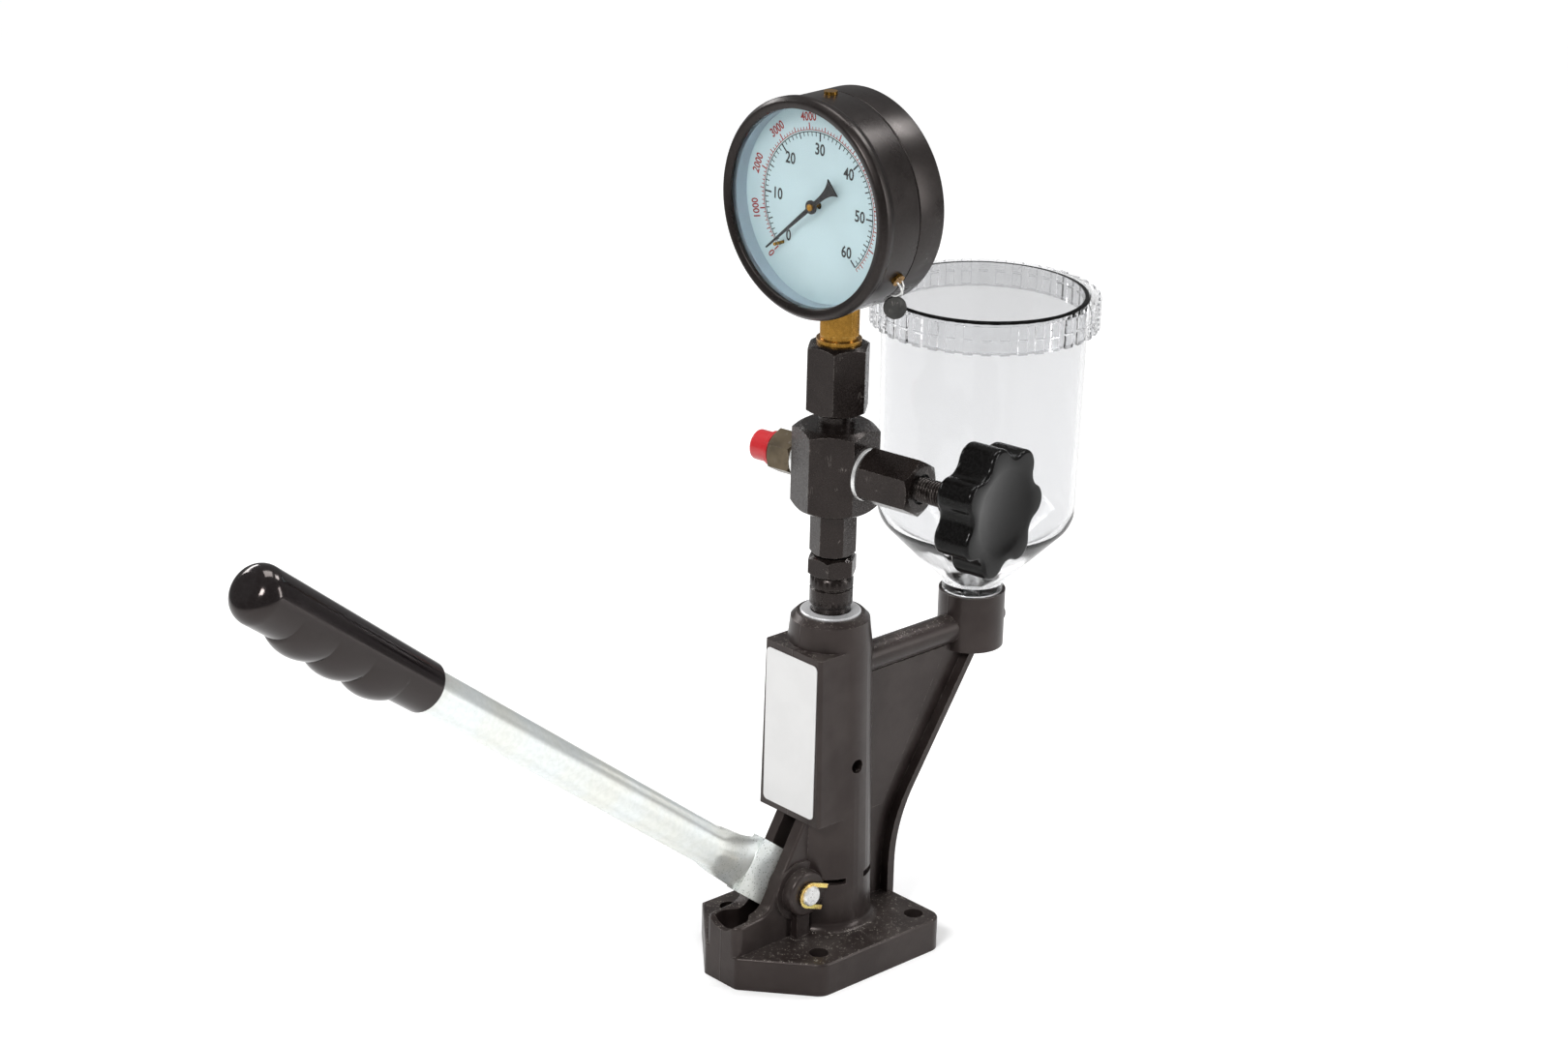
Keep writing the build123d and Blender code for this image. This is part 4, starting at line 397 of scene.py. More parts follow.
def feed_named(tree, node, **inputs):
    """Gives a node's inputs their values by name, with underscores for the spaces."""
    feed(tree, [node.inputs[key.replace("_", " ")] for key in inputs], inputs.values())
    return node


def add_node(tree, kind, settings=(), **inputs):
    """A node with its settings and inputs."""
    made = tree.nodes.new(kind)
    for key, value in dict(settings).items():
        setattr(made, key, value)
    return feed_named(tree, made, **inputs)


def reckon(tree, operation, *values):
    """The result of a Math node."""
    made = add_node(tree, "ShaderNodeMath", {"operation": operation})
    feed(tree, made.inputs, values)
    return made.outputs["Value"]


def reckon_vector(tree, operation, *values):
    """The outputs of a Vector Math node."""
    made = add_node(tree, "ShaderNodeVectorMath", {"operation": operation})
    feed(tree, made.inputs, values)
    return made.outputs


def times(tree, *values):
    """The product of two or more values."""
    product = values[0]
    for value in values[1:]:
        product = reckon(tree, "MULTIPLY", product, value)
    return product


def blend(tree, share, first, second):
    """A mix of two colours by a share."""
    made = add_node(tree, "ShaderNodeMix", {"data_type": "RGBA"})
    factor, *_, colour_a, colour_b = made.inputs[:8]
    feed(tree, (factor, colour_a, colour_b), (share, first, second))
    return made.outputs[2]


def shade_of(base, factor, more=0.0):
    """A colour times a factor, with an amount added, up to white."""
    return tuple(min(1.0, channel * factor + more) for channel in base)


def span(tree, value, low, high, start=0.0, end=1.0):
    """A value moved from one range into another, smoothly and within its ends."""
    made = add_node(tree, "ShaderNodeMapRange", {"interpolation_type": "SMOOTHSTEP", "clamp": True},
                    Value=value, From_Min=low, From_Max=high, To_Min=start, To_Max=end)
    return made.outputs["Result"]


def noise(tree, point, size, detail=2.0, roughness=0.5):
    """Noise of a number of cells to the metre, from 0 to 1."""
    made = add_node(tree, "ShaderNodeTexNoise", Vector=point, Scale=size, Detail=detail, Roughness=roughness)
    return made.outputs["Fac"]


def cells(tree, point, size, feature="F1"):
    """Distances in a Voronoi pattern of a number of cells to the metre."""
    made = add_node(tree, "ShaderNodeTexVoronoi", {"feature": feature}, Vector=point, Scale=size)
    return made.outputs["Distance"]


def object_point(tree):
    return add_node(tree, "ShaderNodeTexCoord").outputs["Object"]


def surface_normal(tree):
    return add_node(tree, "ShaderNodeNewGeometry").outputs["Normal"]


def along_axis(tree, vector, axis):
    return add_node(tree, "ShaderNodeSeparateXYZ", Vector=vector).outputs[axis]


def shader_group(*outputs, **inputs):
    """Turns a function that builds nodes into one that places them as a shared shader group.

    The group has the function's name and is built at its first use. Its inputs are numbers
    with the defaults given here, and the function returns one socket for each output.
    """

    def wrap(build):
        def placed(tree, **values):
            name = "tester_" + build.__name__
            group = bpy.data.node_groups.get(name)
            if not group:
                group = bpy.data.node_groups.new(name, "ShaderNodeTree")
                for key, value in inputs.items():
                    made = group.interface.new_socket(key, in_out="INPUT", socket_type="NodeSocketFloat")
                    made.default_value = value
                for key in outputs:
                    group.interface.new_socket(key, in_out="OUTPUT", socket_type="NodeSocketFloat")
                given = group.nodes.new("NodeGroupInput").outputs
                feed(group, group.nodes.new("NodeGroupOutput").inputs, build(group, given))
            return add_node(tree, "ShaderNodeGroup", {"node_tree": group}, **values).outputs

        return placed

    return wrap


@shader_group("Height", Scale=900.0)
def grain(tree, given):
    """Fine grain: two sizes of noise, mostly the coarser one."""
    point = object_point(tree)
    coarse = noise(tree, point, given["Scale"])
    fine = noise(tree, point, times(tree, given["Scale"], 3.1))
    return (reckon(tree, "MULTIPLY_ADD", fine, 0.35, times(tree, coarse, 0.65)),)


@shader_group("Mask", Scale=700.0, Amount=0.45)
def speckle(tree, given):
    """Small round spots: cells of a Voronoi pattern near their points, kept where noise is high."""
    point = object_point(tree)
    near = span(tree, cells(tree, point, given["Scale"]), low=0.30, high=0.12)
    patch = noise(tree, point, times(tree, given["Scale"], 0.13), detail=3.0)
    kept = reckon(tree, "GREATER_THAN", patch, reckon(tree, "SUBTRACT", 1.0, given["Amount"]))
    return (times(tree, near, kept),)


@shader_group("Mask", Scale=350.0, Amount=0.6, Reach=0.6 * MM)
def wear(tree, given):
    """Mask along edges, for worn edges and, on the casting, partly a painted highlight: where the normal
    rounded over a small reach leaves the surface's own normal, broken up by noise."""
    soft = add_node(tree, "ShaderNodeBevel", {"samples": 4}, Radius=given["Reach"]).outputs["Normal"]
    agree = reckon_vector(tree, "DOT_PRODUCT", soft, surface_normal(tree))["Value"]
    edge = span(tree, agree, low=0.985, high=0.90)
    patch = noise(tree, object_point(tree), given["Scale"], detail=4.0, roughness=0.7)
    return (times(tree, edge, span(tree, patch, low=0.42, high=0.62), given["Amount"]),)


@shader_group("Mask", Scale=90.0, Amount=0.5)
def scratches(tree, given):
    """Short fine scratches: a stretched Voronoi pattern's cell borders, kept in patches."""
    point = object_point(tree)
    turned = add_node(tree, "ShaderNodeMapping", Vector=point, Rotation=(0.7, 0.4, 0.5), Scale=(1, 9, 1))
    border = cells(tree, turned.outputs["Vector"], given["Scale"], "DISTANCE_TO_EDGE")
    line = span(tree, border, low=0.035, high=0.005)
    patch = span(tree, noise(tree, point, 160.0, detail=3.0), low=0.60, high=0.68)
    return (times(tree, line, patch, given["Amount"]),)


@shader_group("Large", "Small", Scale=45.0)
def clouds(tree, given):
    """Large soft clouds with a finer mottle in them."""
    point = object_point(tree)
    large = noise(tree, point, given["Scale"], detail=3.0, roughness=0.6)
    small = noise(tree, point, times(tree, given["Scale"], 14.0))
    return span(tree, large, low=0.36, high=0.64), span(tree, small, low=0.40, high=0.62)


@shader_group("Mask", Amount=0.5)
def dust(tree, given):
    """Dust on what faces up: specks and film where the normal's rise is high."""
    level = span(tree, along_axis(tree, surface_normal(tree), "Z"), low=0.6, high=0.95)
    point = object_point(tree)
    speck = span(tree, cells(tree, point, 1150.0), low=0.40, high=0.28)
    kept = span(tree, noise(tree, point, 420.0), low=0.50, high=0.60)
    film = span(tree, noise(tree, point, 60.0, detail=4.0), low=0.35, high=0.75, end=0.10)
    return (times(tree, reckon(tree, "MAXIMUM", times(tree, speck, kept), film), level, given["Amount"]),)


def surface(name, base, roughness, metallic=0.0, **sockets):
    """A new material with one Principled shader; returns the material, its tree and the shader."""
    made = bpy.data.materials.new(name)
    made.use_nodes = True
    made.diffuse_color = (*base, 1.0)
    shader = made.node_tree.nodes["Principled BSDF"]
    feed_named(made.node_tree, shader, Base_Color=base, Roughness=roughness, Metallic=metallic, **sockets)
    return made, made.node_tree, shader


def bump(tree, shader, height, strength, distance, under=None):
    """A Bump node that feeds the shader's normal, over another one where under is given; the
    distance is in millimetres."""
    normal = {} if under is None else {"Normal": under}
    made = add_node(tree, "ShaderNodeBump", Height=height, Strength=strength, Distance=distance * MM,
                    **normal)
    feed_named(tree, shader, Normal=made.outputs["Normal"])
    return made.outputs["Normal"]


# Materials


def cast_material(colours):
    """Satin coat over cast iron: grain, a mould's parting line on the plane y = 0, dust, and a lighter colour
    along the edges that is partly worn coating and partly a painted highlight.
    """
    made, tree, shader = surface("cast_iron_coated", colours.casting, 0.42, Specular_IOR_Level=0.36,
                                 Specular_Tint=colours.coat_sheen)
    pores = grain(tree, Scale=620.0)["Height"]
    # edge mask: lighter colour along the edges, partly worn coating and partly a painted highlight
    worn = wear(tree, Scale=260.0, Amount=0.75)["Mask"]
    dusty = dust(tree, Amount=0.6)["Mask"]
    cloudy = times(tree, clouds(tree, Scale=28.0)["Large"], 0.10)
    tone = blend(tree, cloudy, colours.casting, colours.casting_worn)
    # edges lightened: partly worn coating, partly a painted highlight
    rubbed = blend(tree, worn, tone, colours.casting_worn)
    dull = reckon(tree, "MULTIPLY_ADD", dusty, 0.3, 0.24)
    feed_named(tree, shader, Base_Color=blend(tree, dusty, rubbed, colours.dust),
               Roughness=reckon(tree, "MULTIPLY_ADD", pores, 0.14, dull))
    across = reckon(tree, "ABSOLUTE", along_axis(tree, object_point(tree), "Y"))
    parting = span(tree, across, low=0.5 * MM, high=0.15 * MM)
    lines = bump(tree, shader, parting, strength=0.5, distance=0.25)
    bump(tree, shader, pores, strength=0.30, distance=0.22, under=lines)
    return made


def steel_material(name, base, worn_colour, roughness, metallic, worn=0.55, scratched=0.5, specular=0.5,
                   sheen=WHITE):
    """Blackened or plated steel: oily clouds, worn edges and a few scratches."""
    made, tree, shader = surface(name, base, roughness, metallic, Specular_IOR_Level=specular,
                                 Specular_Tint=sheen)
    oil = clouds(tree, Scale=70.0)
    edges = wear(tree, Scale=420.0, Amount=worn)["Mask"]
    lines = scratches(tree, Scale=110.0, Amount=scratched)["Mask"]
    tone = blend(tree, times(tree, oil["Large"], 0.6), base, shade_of(base, 1.9, 0.003))
    feed_named(tree, shader, Base_Color=blend(tree, reckon(tree, "MAXIMUM", edges, lines), tone, worn_colour),
               Roughness=reckon(tree, "MULTIPLY_ADD", oil["Small"], 0.14, roughness - 0.05))
    bump(tree, shader, grain(tree, Scale=1500.0)["Height"], strength=0.18, distance=0.08)
    return made


def zinc_material(colours):
    """Bright zinc plating: bluish with faint yellow clouds, and dark specks on the pressed end."""
    made, tree, shader = surface("zinc_plating", colours.zinc, 0.24, 0.66)
    mottle = clouds(tree, Scale=30.0)
    specks = speckle(tree, Scale=700.0, Amount=0.64)["Mask"]
    pivot = joints["lever_swing"]["pos_m"]
    from_pivot = reckon_vector(tree, "DISTANCE", object_point(tree), pivot)["Value"]
    pressed = span(tree, from_pivot, low=75 * MM, high=35 * MM, start=0.10, end=0.95)
    dark = shade_of(colours.zinc, 0.34)
    tone = blend(tree, times(tree, mottle["Large"], 0.45), colours.zinc, colours.zinc_tint)
    mottled = blend(tree, times(tree, mottle["Small"], 0.09), tone, dark)
    feed_named(tree, shader, Base_Color=blend(tree, times(tree, specks, pressed), mottled, dark),
               Roughness=reckon(tree, "MULTIPLY_ADD", mottle["Small"], 0.05, 0.22))
    bump(tree, shader, grain(tree, Scale=1300.0)["Height"], strength=0.12, distance=0.08)
    return made


def turned_material(name, base, roughness, place, pitch=0.35, metallic=1.0):
    """Turned metal: fine rings about the place's axis, from the sum of the distance to the
    place's origin and the distance along the axis, over the pitch in millimetres."""
    made, tree, shader = surface(name, base, roughness, metallic)
    local = reckon_vector(tree, "SUBTRACT", object_point(tree), place.origin)["Vector"]
    along = reckon_vector(tree, "DOT_PRODUCT", local, place.out)["Value"]
    away = reckon_vector(tree, "LENGTH", local)["Value"]
    rings = reckon(tree, "SINE", times(tree, reckon(tree, "ADD", away, along), 2 * math.pi / (pitch * MM)))
    stain = clouds(tree, Scale=120.0)
    tone = blend(tree, times(tree, stain["Small"], 0.35), base, shade_of(base, 0.55))
    feed_named(tree, shader, Base_Color=tone,
               Roughness=reckon(tree, "MULTIPLY_ADD", stain["Large"], 0.12, roughness))
    bump(tree, shader, rings, strength=0.12, distance=0.05)
    return made


def moulded_material(name, base, roughness, grain_size=900.0, height=0.10, coat=0.0, coat_roughness=0.1,
                     specular=0.5, film=0.0, sheen=WHITE):
    """Moulded or dipped plastic and lacquer: a faint grain, soft clouds of gloss and a clear coat."""
    made, tree, shader = surface(name, base, roughness, Coat_Weight=coat, Coat_Roughness=coat_roughness,
                                 Specular_IOR_Level=specular, Specular_Tint=sheen)
    gloss = clouds(tree, Scale=50.0)
    dusty = dust(tree, Amount=film)["Mask"]
    pale = reckon(tree, "MULTIPLY_ADD", gloss["Small"], 0.05, dusty)
    feed_named(tree, shader, Base_Color=blend(tree, pale, base, shade_of(base, 1.0, 0.06)),
               Roughness=reckon(tree, "MULTIPLY_ADD", gloss["Large"], 0.08, roughness))
    bump(tree, shader, grain(tree, Scale=grain_size)["Height"], height, distance=0.12)
    return made


def clear_material(name, base, roughness, index, waves, milky=0.0):
    """Clear plastic or glass, with very faint waves in its surface; milky is the roughness that
    it reaches towards the cup's foot."""
    made, tree, shader = surface(name, base, roughness, IOR=index, Transmission_Weight=1.0)
    if milky:
        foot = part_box("fuel_cup")[0][2]
        height = along_axis(tree, object_point(tree), "Z")
        clear_above, milky_below = foot + 42 * MM, foot + 12 * MM
        cloudy = span(tree, height, clear_above, milky_below, start=roughness, end=milky)
        feed_named(tree, shader, Roughness=cloudy)
    bump(tree, shader, noise(tree, object_point(tree), 38.0), waves, distance=0.6)
    return made


def sheet_material(name, base, roughness, mottle, cloud_size, grain_size, height):
    """Printed or foil sheet, with a barely visible mottle that changes its colour by a factor."""
    made, tree, shader = surface(name, base, roughness)
    cloudy = clouds(tree, Scale=cloud_size)["Large"]
    feed_named(tree, shader, Base_Color=blend(tree, cloudy, base, shade_of(base, mottle)))
    bump(tree, shader, grain(tree, Scale=grain_size)["Height"], height, distance=0.05)
    return made


def materials():
    """Every finish of the tester by its record slot, and the red print; made once."""
    if MATERIALS:
        return MATERIALS
    tones = bpy.context.scene.tester_colours
    column = Place((0, 0, 0), (1, 0, 0), UP)
    MATERIALS.update({
        "cast_black": cast_material(tones),
        "label_white": sheet_material("label_plate", tones.plate, 0.34, mottle=0.965, cloud_size=40.0,
                                      grain_size=1800.0, height=0.06),
        "black_steel": steel_material("steel_blackened", tones.steel, tones.steel_worn, 0.27, 0.0,
                                      specular=0.34, sheen=tones.coat_sheen),
        "golden_steel": steel_material("steel_brown", tones.golden, tones.steel_worn, 0.34, 0.7,
                                       worn=0.4, scratched=0.7),
        "zinc_steel": zinc_material(tones),
        "bright_steel": turned_material("steel_bright", tones.bright, 0.20, valve_place(), metallic=0.55),
        "spring_steel": turned_material("steel_spring", tones.bright, 0.30, column),
        "yellow_steel": steel_material("steel_yellow", tones.yellow, tones.bright, 0.26, 1.0,
                                       worn=0.3, scratched=0.2),
        "bright_aluminium": turned_material("aluminium_turned", tones.aluminium, 0.30, column, pitch=0.5,
                                            metallic=0.45),
        "brass": steel_material("brass", tones.brass, tones.brass_worn, 0.24, 0.9, worn=0.6, scratched=0.35),
        "case_black": moulded_material("case_lacquer", tones.case, 0.27, grain_size=700.0, height=0.14,
                                       specular=0.34, film=0.02, sheen=tones.coat_sheen),
        "dial_face": sheet_material("dial_face", tones.dial, 0.5, mottle=1.08, cloud_size=30.0,
                                    grain_size=2400.0, height=0.05),
        "dial_wall": moulded_material("dial_wall", tones.dial_wall, 0.55, height=0.05),
        "pointer_black": moulded_material("pointer_paint", tones.print_black, 0.5, grain_size=1200.0,
                                          height=0.05),
        "print_red": moulded_material("print_red", tones.print_red, 0.5, grain_size=1200.0, height=0.05),
        "clear_glass": clear_material("gauge_glass", tones.glass, 0.0, index=1.12, waves=0.002),
        "clear_plastic": clear_material("clear_plastic", tones.clear, 0.03, index=1.25, waves=0.05,
                                        milky=0.20),
        "knob_black": moulded_material("knob_phenolic", tones.knob, 0.16, grain_size=500.0, height=0.05,
                                       specular=0.16),
        "grip_black": moulded_material("grip_vinyl", tones.grip, 0.11, grain_size=60.0,
                                       sheen=tones.coat_sheen),
        "cap_red": moulded_material("cap_plastic", tones.cap, 0.30, grain_size=700.0, height=0.08, coat=0.3,
                                    coat_roughness=0.2),
        "seal_rubber": moulded_material("rubber", tones.rubber, 0.6),
        "seal_lead": steel_material("seal_lead", tones.lead, tones.steel_worn, 0.5, 0.6, worn=0.4,
                                    scratched=0.8),
    })
    return MATERIALS


# Pieces


def finish(piece, body, slot, *nodes, material=None):
    """Gives a piece the material of its slot, or the material named, puts it on the body it rides on and
    hides the CAD nodes it stands for.
    """
    piece.data.materials.clear()
    piece.data.materials.append(materials()[material or slot])
    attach(piece, body)
    if nodes:
        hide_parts(*nodes)


def finish_copy(node, ending, edge, body, slot):
    """Puts a merged copy, named after the node with an ending, in a CAD node's place."""
    finish(merged_copy(node, node + ending, edge), body, slot, node)


def finish_nodes(**slots):
    """Gives CAD nodes that keep their shape the material of their slot."""
    for slot, nodes in slots.items():
        for node in nodes:
            piece = frame["nodes"][node]
            piece.data.materials.clear()
            piece.data.materials.append(materials()[slot])


def grip_reach(along, sizes, lean=0.9, fullness=0.75):
    """Reach of the grip's underside below the lever's axis, at distances along it.

    With f the fraction of (distance from the closed end, less the start, over the pitch),
    the reach inside the row of bumps is notch + (bump - notch) |sin(pi f^lean)|^fullness,
    which gives round bumps with sharp notches; elsewhere it is zero, so that the grip's own
    radius is the larger.
    """
    u = (sizes.grip_end - sizes.bump_start - along) / sizes.bump_pitch
    wave = np.abs(np.sin(math.pi * (u % 1.0) ** lean)) ** fullness
    reach = sizes.notch_reach + (sizes.bump_reach - sizes.notch_reach) * wave
    return np.where((u > 0) & (u < sizes.bumps), reach, 0.0)


def grip_surface(sizes, sides=112, rows=250, narrowness=1.3):
    """Points of the grip: a cone's radius R(s), and on the underside R + (reach - R) w where the
    reach of the bumps is the larger, with w the cosine of the angle from straight down, cut at
    zero, to the power of the narrowness. The profile is in millimetres."""
    start, end, outer, mouth = millimetres(sizes, "grip_start", "grip_end", "grip_radius", "mouth_radius")
    bore, floor = sizes.tube_radius / MM + SEAT_GAP, end - sizes.grip_wall / MM + SEAT_GAP
    mouth_ledge, lip, nose_round, nose_length, end_rows = 0.7, 1.2, 8.0, 9.0, 8
    inside = ((PINHOLE, floor), (bore, floor), (bore, start), (bore + mouth_ledge, start))
    turn = quarter_turn(6)
    mouth_lip = np.stack((mouth - lip + lip * np.sin(turn), start + lip - lip * np.cos(turn)), -1)
    side = np.linspace((mouth, start + lip), (outer, end - nose_length), rows)[1:]
    turn = quarter_turn(24)[1:]
    nose = np.stack((nose_round * np.cos(turn), nose_length * np.sin(turn)), -1)
    nose += (outer - nose_round, end - nose_length)
    face = np.linspace((outer - nose_round, end), (PINHOLE, end), end_rows)[1:]
    profile = np.concatenate((inside, mouth_lip, side, nose, face)) * MM
    around = full_turn(sides)
    under = np.clip(-np.sin(around), 0, 1) ** narrowness
    outside = np.arange(len(profile)) >= len(inside)
    gain = np.maximum(grip_reach(profile[:, 1], sizes) - profile[:, 0], 0) * outside
    radius = profile[:, 0, None] + gain[:, None] * under
    return lever_place(sizes.angle, sizes.offset).put(swept(radius, around, profile[:, 1, None]))


def knob_outline(sizes, around):
    """Reach of the knob's outline at angles round its axis.

    Lobe circles of radius q stand at distance D = R - q. Between two lobes lies a valley
    circle that touches both; its radius v follows from the floor F: with C the lobe's share
    D cos(half step), v = (D^2 + F^2 - 2CF - q^2) / (2(q - F + C)). Along an angle a from a
    lobe the reach is D cos a + sqrt(q^2 - D^2 sin^2 a) up to the touching point, and beyond
    it V cos b - sqrt(v^2 - V^2 sin^2 b), with V = F + v and b measured from the valley.
    """
    step = 2 * math.pi / sizes.lobes
    q, floor = sizes.lobe_radius, sizes.valley_radius
    far = sizes.knob_radius - q
    share = far * math.cos(step / 2)
    v = (far**2 + floor**2 - 2 * share * floor - q**2) / (2 * (q - floor + share))
    valley = floor + v
    lobe_middle = np.array((far, 0.0))
    valley_middle = valley * np.array((math.cos(step / 2), math.sin(step / 2)))
    gap = valley_middle - lobe_middle
    touch = lobe_middle + gap / np.linalg.norm(gap) * q
    a = np.abs((around - sizes.knob_turn + step / 2) % step - step / 2)
    b = a - step / 2
    on_lobe = far * np.cos(a) + np.sqrt(np.maximum(q**2 - (far * np.sin(a)) ** 2, 0))
    on_valley = valley * np.cos(b) - np.sqrt(np.maximum(v**2 - (valley * np.sin(b)) ** 2, 0))
    return np.where(a < math.atan2(touch[1], touch[0]), on_lobe, on_valley)


def knob_surface(sizes, sides=392, side_rows=6):
    """Points of the knob: rows from the bottom of its bore, over the round boss and the lobed
    body, to the middle of its face. A row has a radius, a share of the lobed reach, a cut off
    that reach and a depth."""
    pin, bore = PINHOLE * MM, sizes.rod_radius + SEAT_GAP * MM
    bore_edge, boss_edge, heel, toe, dish_rim, dish_floor = np.array((0.4, 0.6, 2.6, 1.8, 20.5, 19.0)) * MM
    back, front, boss, reach = sizes.knob_start, sizes.knob_end, sizes.boss_start, sizes.boss_radius
    turn = quarter_turn(9)
    plain = ((pin, back), (bore, back), (bore, boss + bore_edge), (bore + bore_edge, boss),
             (reach - boss_edge, boss), (reach, boss + boss_edge), (reach, back))
    rows = [(radius, 0.0, 0.0, depth) for radius, depth in plain]
    rows += [(0.0, 1.0, heel * (1 - math.sin(t)), back + heel * (1 - math.cos(t))) for t in turn]
    rows += [(0.0, 1.0, 0.0, back + heel + (front - toe - back - heel) * k / side_rows)
             for k in range(1, side_rows)]
    rows += [(0.0, 1.0, toe * (1 - math.cos(t)), front - toe + toe * math.sin(t)) for t in turn]
    rows += [(dish_rim, 0.0, 0.0, front), (dish_floor, 0.0, 0.0, front - sizes.face_dish),
             (pin, 0.0, 0.0, front - sizes.face_dish)]
    radius, share, cut, depth = np.array(rows).T[:, :, None]
    around = full_turn(sides)
    return valve_place().put(swept(radius + share * knob_outline(sizes, around) - cut, around, depth))


def spindle_surface(sizes, sides=72, rows_to_pitch=10, root_power=1.5):
    """Points of the spindle. Over the thread the reach is the outside radius less the depth times
    |2f - 1| to the root power, with f the fraction of (distance over pitch) less (angle over a
    full turn); just before the collar the thread fades into a plain neck at its full depth."""
    neck, fade_length, collar_round = 1.2 * MM, 1.0 * MM, 0.7
    rows = np.arange(sizes.thread_start, sizes.collar_start, sizes.thread_pitch / rows_to_pitch)
    along = np.concatenate(([sizes.rod_start, sizes.thread_start], rows))[:, None]
    around = full_turn(sides)
    phase = (along / sizes.thread_pitch - around / (2 * math.pi)) % 1.0
    fade = np.clip((sizes.collar_start - neck - along) / fade_length, 0, 1)
    cut = sizes.thread_depth * (np.abs(2 * phase - 1) ** root_power * fade + 1 - fade)
    rod = swept(sizes.rod_radius - np.where(along > sizes.thread_start, cut, 0), around, along)
    start, collar, boss, reach, end = millimetres(
        sizes, "collar_start", "collar_radius", "boss_start", "rod_radius", "knob_start"
    )
    end -= SEAT_GAP
    outline = ((0, start), (collar, start), (collar, boss), (reach, boss), (reach, end), (0, end))
    head = rounded(outline, collar_round, closed=False)[1:-1]
    return valve_place().put(np.concatenate((rod, swept(head[:, 0, None], around, head[:, 1, None]))))


def case_profile(sizes):
    """Radii and depths, in millimetres, of the case behind the seam, with its spigot."""
    radius, spigot, back, seam, dial, chamfer = millimetres(
        sizes, "case_radius", "spigot_radius", "back_depth", "seam_depth", "dial_depth", "back_chamfer"
    )
    dial_thickness, wall = 0.8, 2
    rim = dial - dial_thickness
    return ((PINHOLE, back), (radius - chamfer, back), (radius, back + chamfer), (radius, seam),
            (spigot, seam), (spigot, rim), (spigot - wall, rim), (spigot - wall, back + wall),
            (PINHOLE, back + wall))


def bezel_profile(sizes):
    """Radii and depths, in millimetres, of the bezel with its rolled bead and its lip."""
    radius, bead, spigot, window = millimetres(
        sizes, "case_radius", "bead_radius", "spigot_radius", "window_radius"
    )
    seam, start, front, lip = millimetres(sizes, "seam_depth", "bead_depth", "front_depth", "lip")
    spigot += SEAT_GAP
    ramp_start, ramp_end = start - 0.4, start + 1.6
    brow_depth, brow_reach, crown_reach = front - 2.2, bead - 2.0, bead - 3.3
    slope_reach, slope_depth, window_depth = window + 0.3, front - 0.75, front - 1.4
    return ((radius, seam), (radius, ramp_start), (bead, ramp_end), (bead, brow_depth), (brow_reach, front),
            (crown_reach, front), (slope_reach, slope_depth), (window, window_depth), (window, front - lip),
            (spigot, front - lip), (spigot, seam))


def bars(name, place, angles, inner, outer, widths, base, thickness):
    """Flat radial bars of a scale, all at once: eight corners each, at the two ends and plus or
    minus half the width, on the dial's face and on the print's top."""
    ends = np.stack((inner, inner, outer, outer), -1)
    sides = np.stack((-widths, widths, widths, -widths), -1) / 2
    cos, sin = np.cos(angles)[:, None], np.sin(angles)[:, None]
    x, y = ends * cos - sides * sin, ends * sin + sides * cos
    low = np.stack((x, y, np.full_like(x, base)), -1)
    high = low + (0, 0, thickness)
    points = place.put(np.concatenate((low, high), 1).reshape(-1, 3))
    box = np.array(((3, 2, 1, 0), (4, 5, 6, 7), (0, 1, 5, 4), (1, 2, 6, 5), (2, 3, 7, 6), (3, 0, 4, 7)))
    faces = (np.arange(len(angles))[:, None, None] * 8 + box).reshape(-1, 4)
    return piece_from(name, points, faces.tolist())


def circle_band(name, place, radius, width, base, thickness, first, last, rows=200):
    """A thin flat arc on the dial, from one angle to another, closed at its ends."""
    section = np.array(((-0.5, 0), (0.5, 0), (0.5, 1), (-0.5, 1)))
    around = np.linspace(first, last, rows)[:, None]
    grid = swept(radius + section[:, 0] * width, around, base + section[:, 1] * thickness)
    return closed_grid(name, place.put(grid))


def number_points(text, height, size_share=1.36, bold_share=0.028, narrowing=0.84):
    """Corners and faces of a centred number set in the built-in face, narrowed and made bolder;
    its letters are 1 thick, half of it on each side of zero."""
    words = bpy.data.curves.new("number", "FONT")
    words.body = text
    words.size = height * size_share
    words.align_x = "CENTER"
    words.align_y = "CENTER"
    words.extrude = 0.5
    words.offset = height * bold_share
    words.resolution_u = 3
    holder = bpy.data.objects.new("number", words)
    mesh = bpy.data.meshes.new_from_object(holder)
    points = np.zeros(len(mesh.vertices) * 3)
    mesh.vertices.foreach_get("co", points)
    faces = [list(face.vertices) for face in mesh.polygons]
    bpy.data.objects.remove(holder)
    bpy.data.curves.remove(words)
    bpy.data.meshes.remove(mesh)
    return points.reshape(-1, 3) * (narrowing, 1.0, 1.0), faces


def numbers(name, place, texts, angles, radius, height, base, thickness, follow):
    """Numbers on a circle, as one piece; with follow each is turned with the circle."""
    all_points, all_faces, total = [], [], 0
    for text, around in zip(texts, angles):
        points, faces = number_points(str(text), height)
        turn = around - math.pi / 2 if follow else 0.0
        x = points[:, 0] * math.cos(turn) - points[:, 1] * math.sin(turn) + radius * math.cos(around)
        y = points[:, 0] * math.sin(turn) + points[:, 1] * math.cos(turn) + radius * math.sin(around)
        all_points.append(np.stack((x, y, base + (points[:, 2] + 0.5) * thickness), -1))
        all_faces += [[corner + total for corner in face] for face in faces]
        total += len(points)
    return piece_from(name, place.put(np.concatenate(all_points)), all_faces)


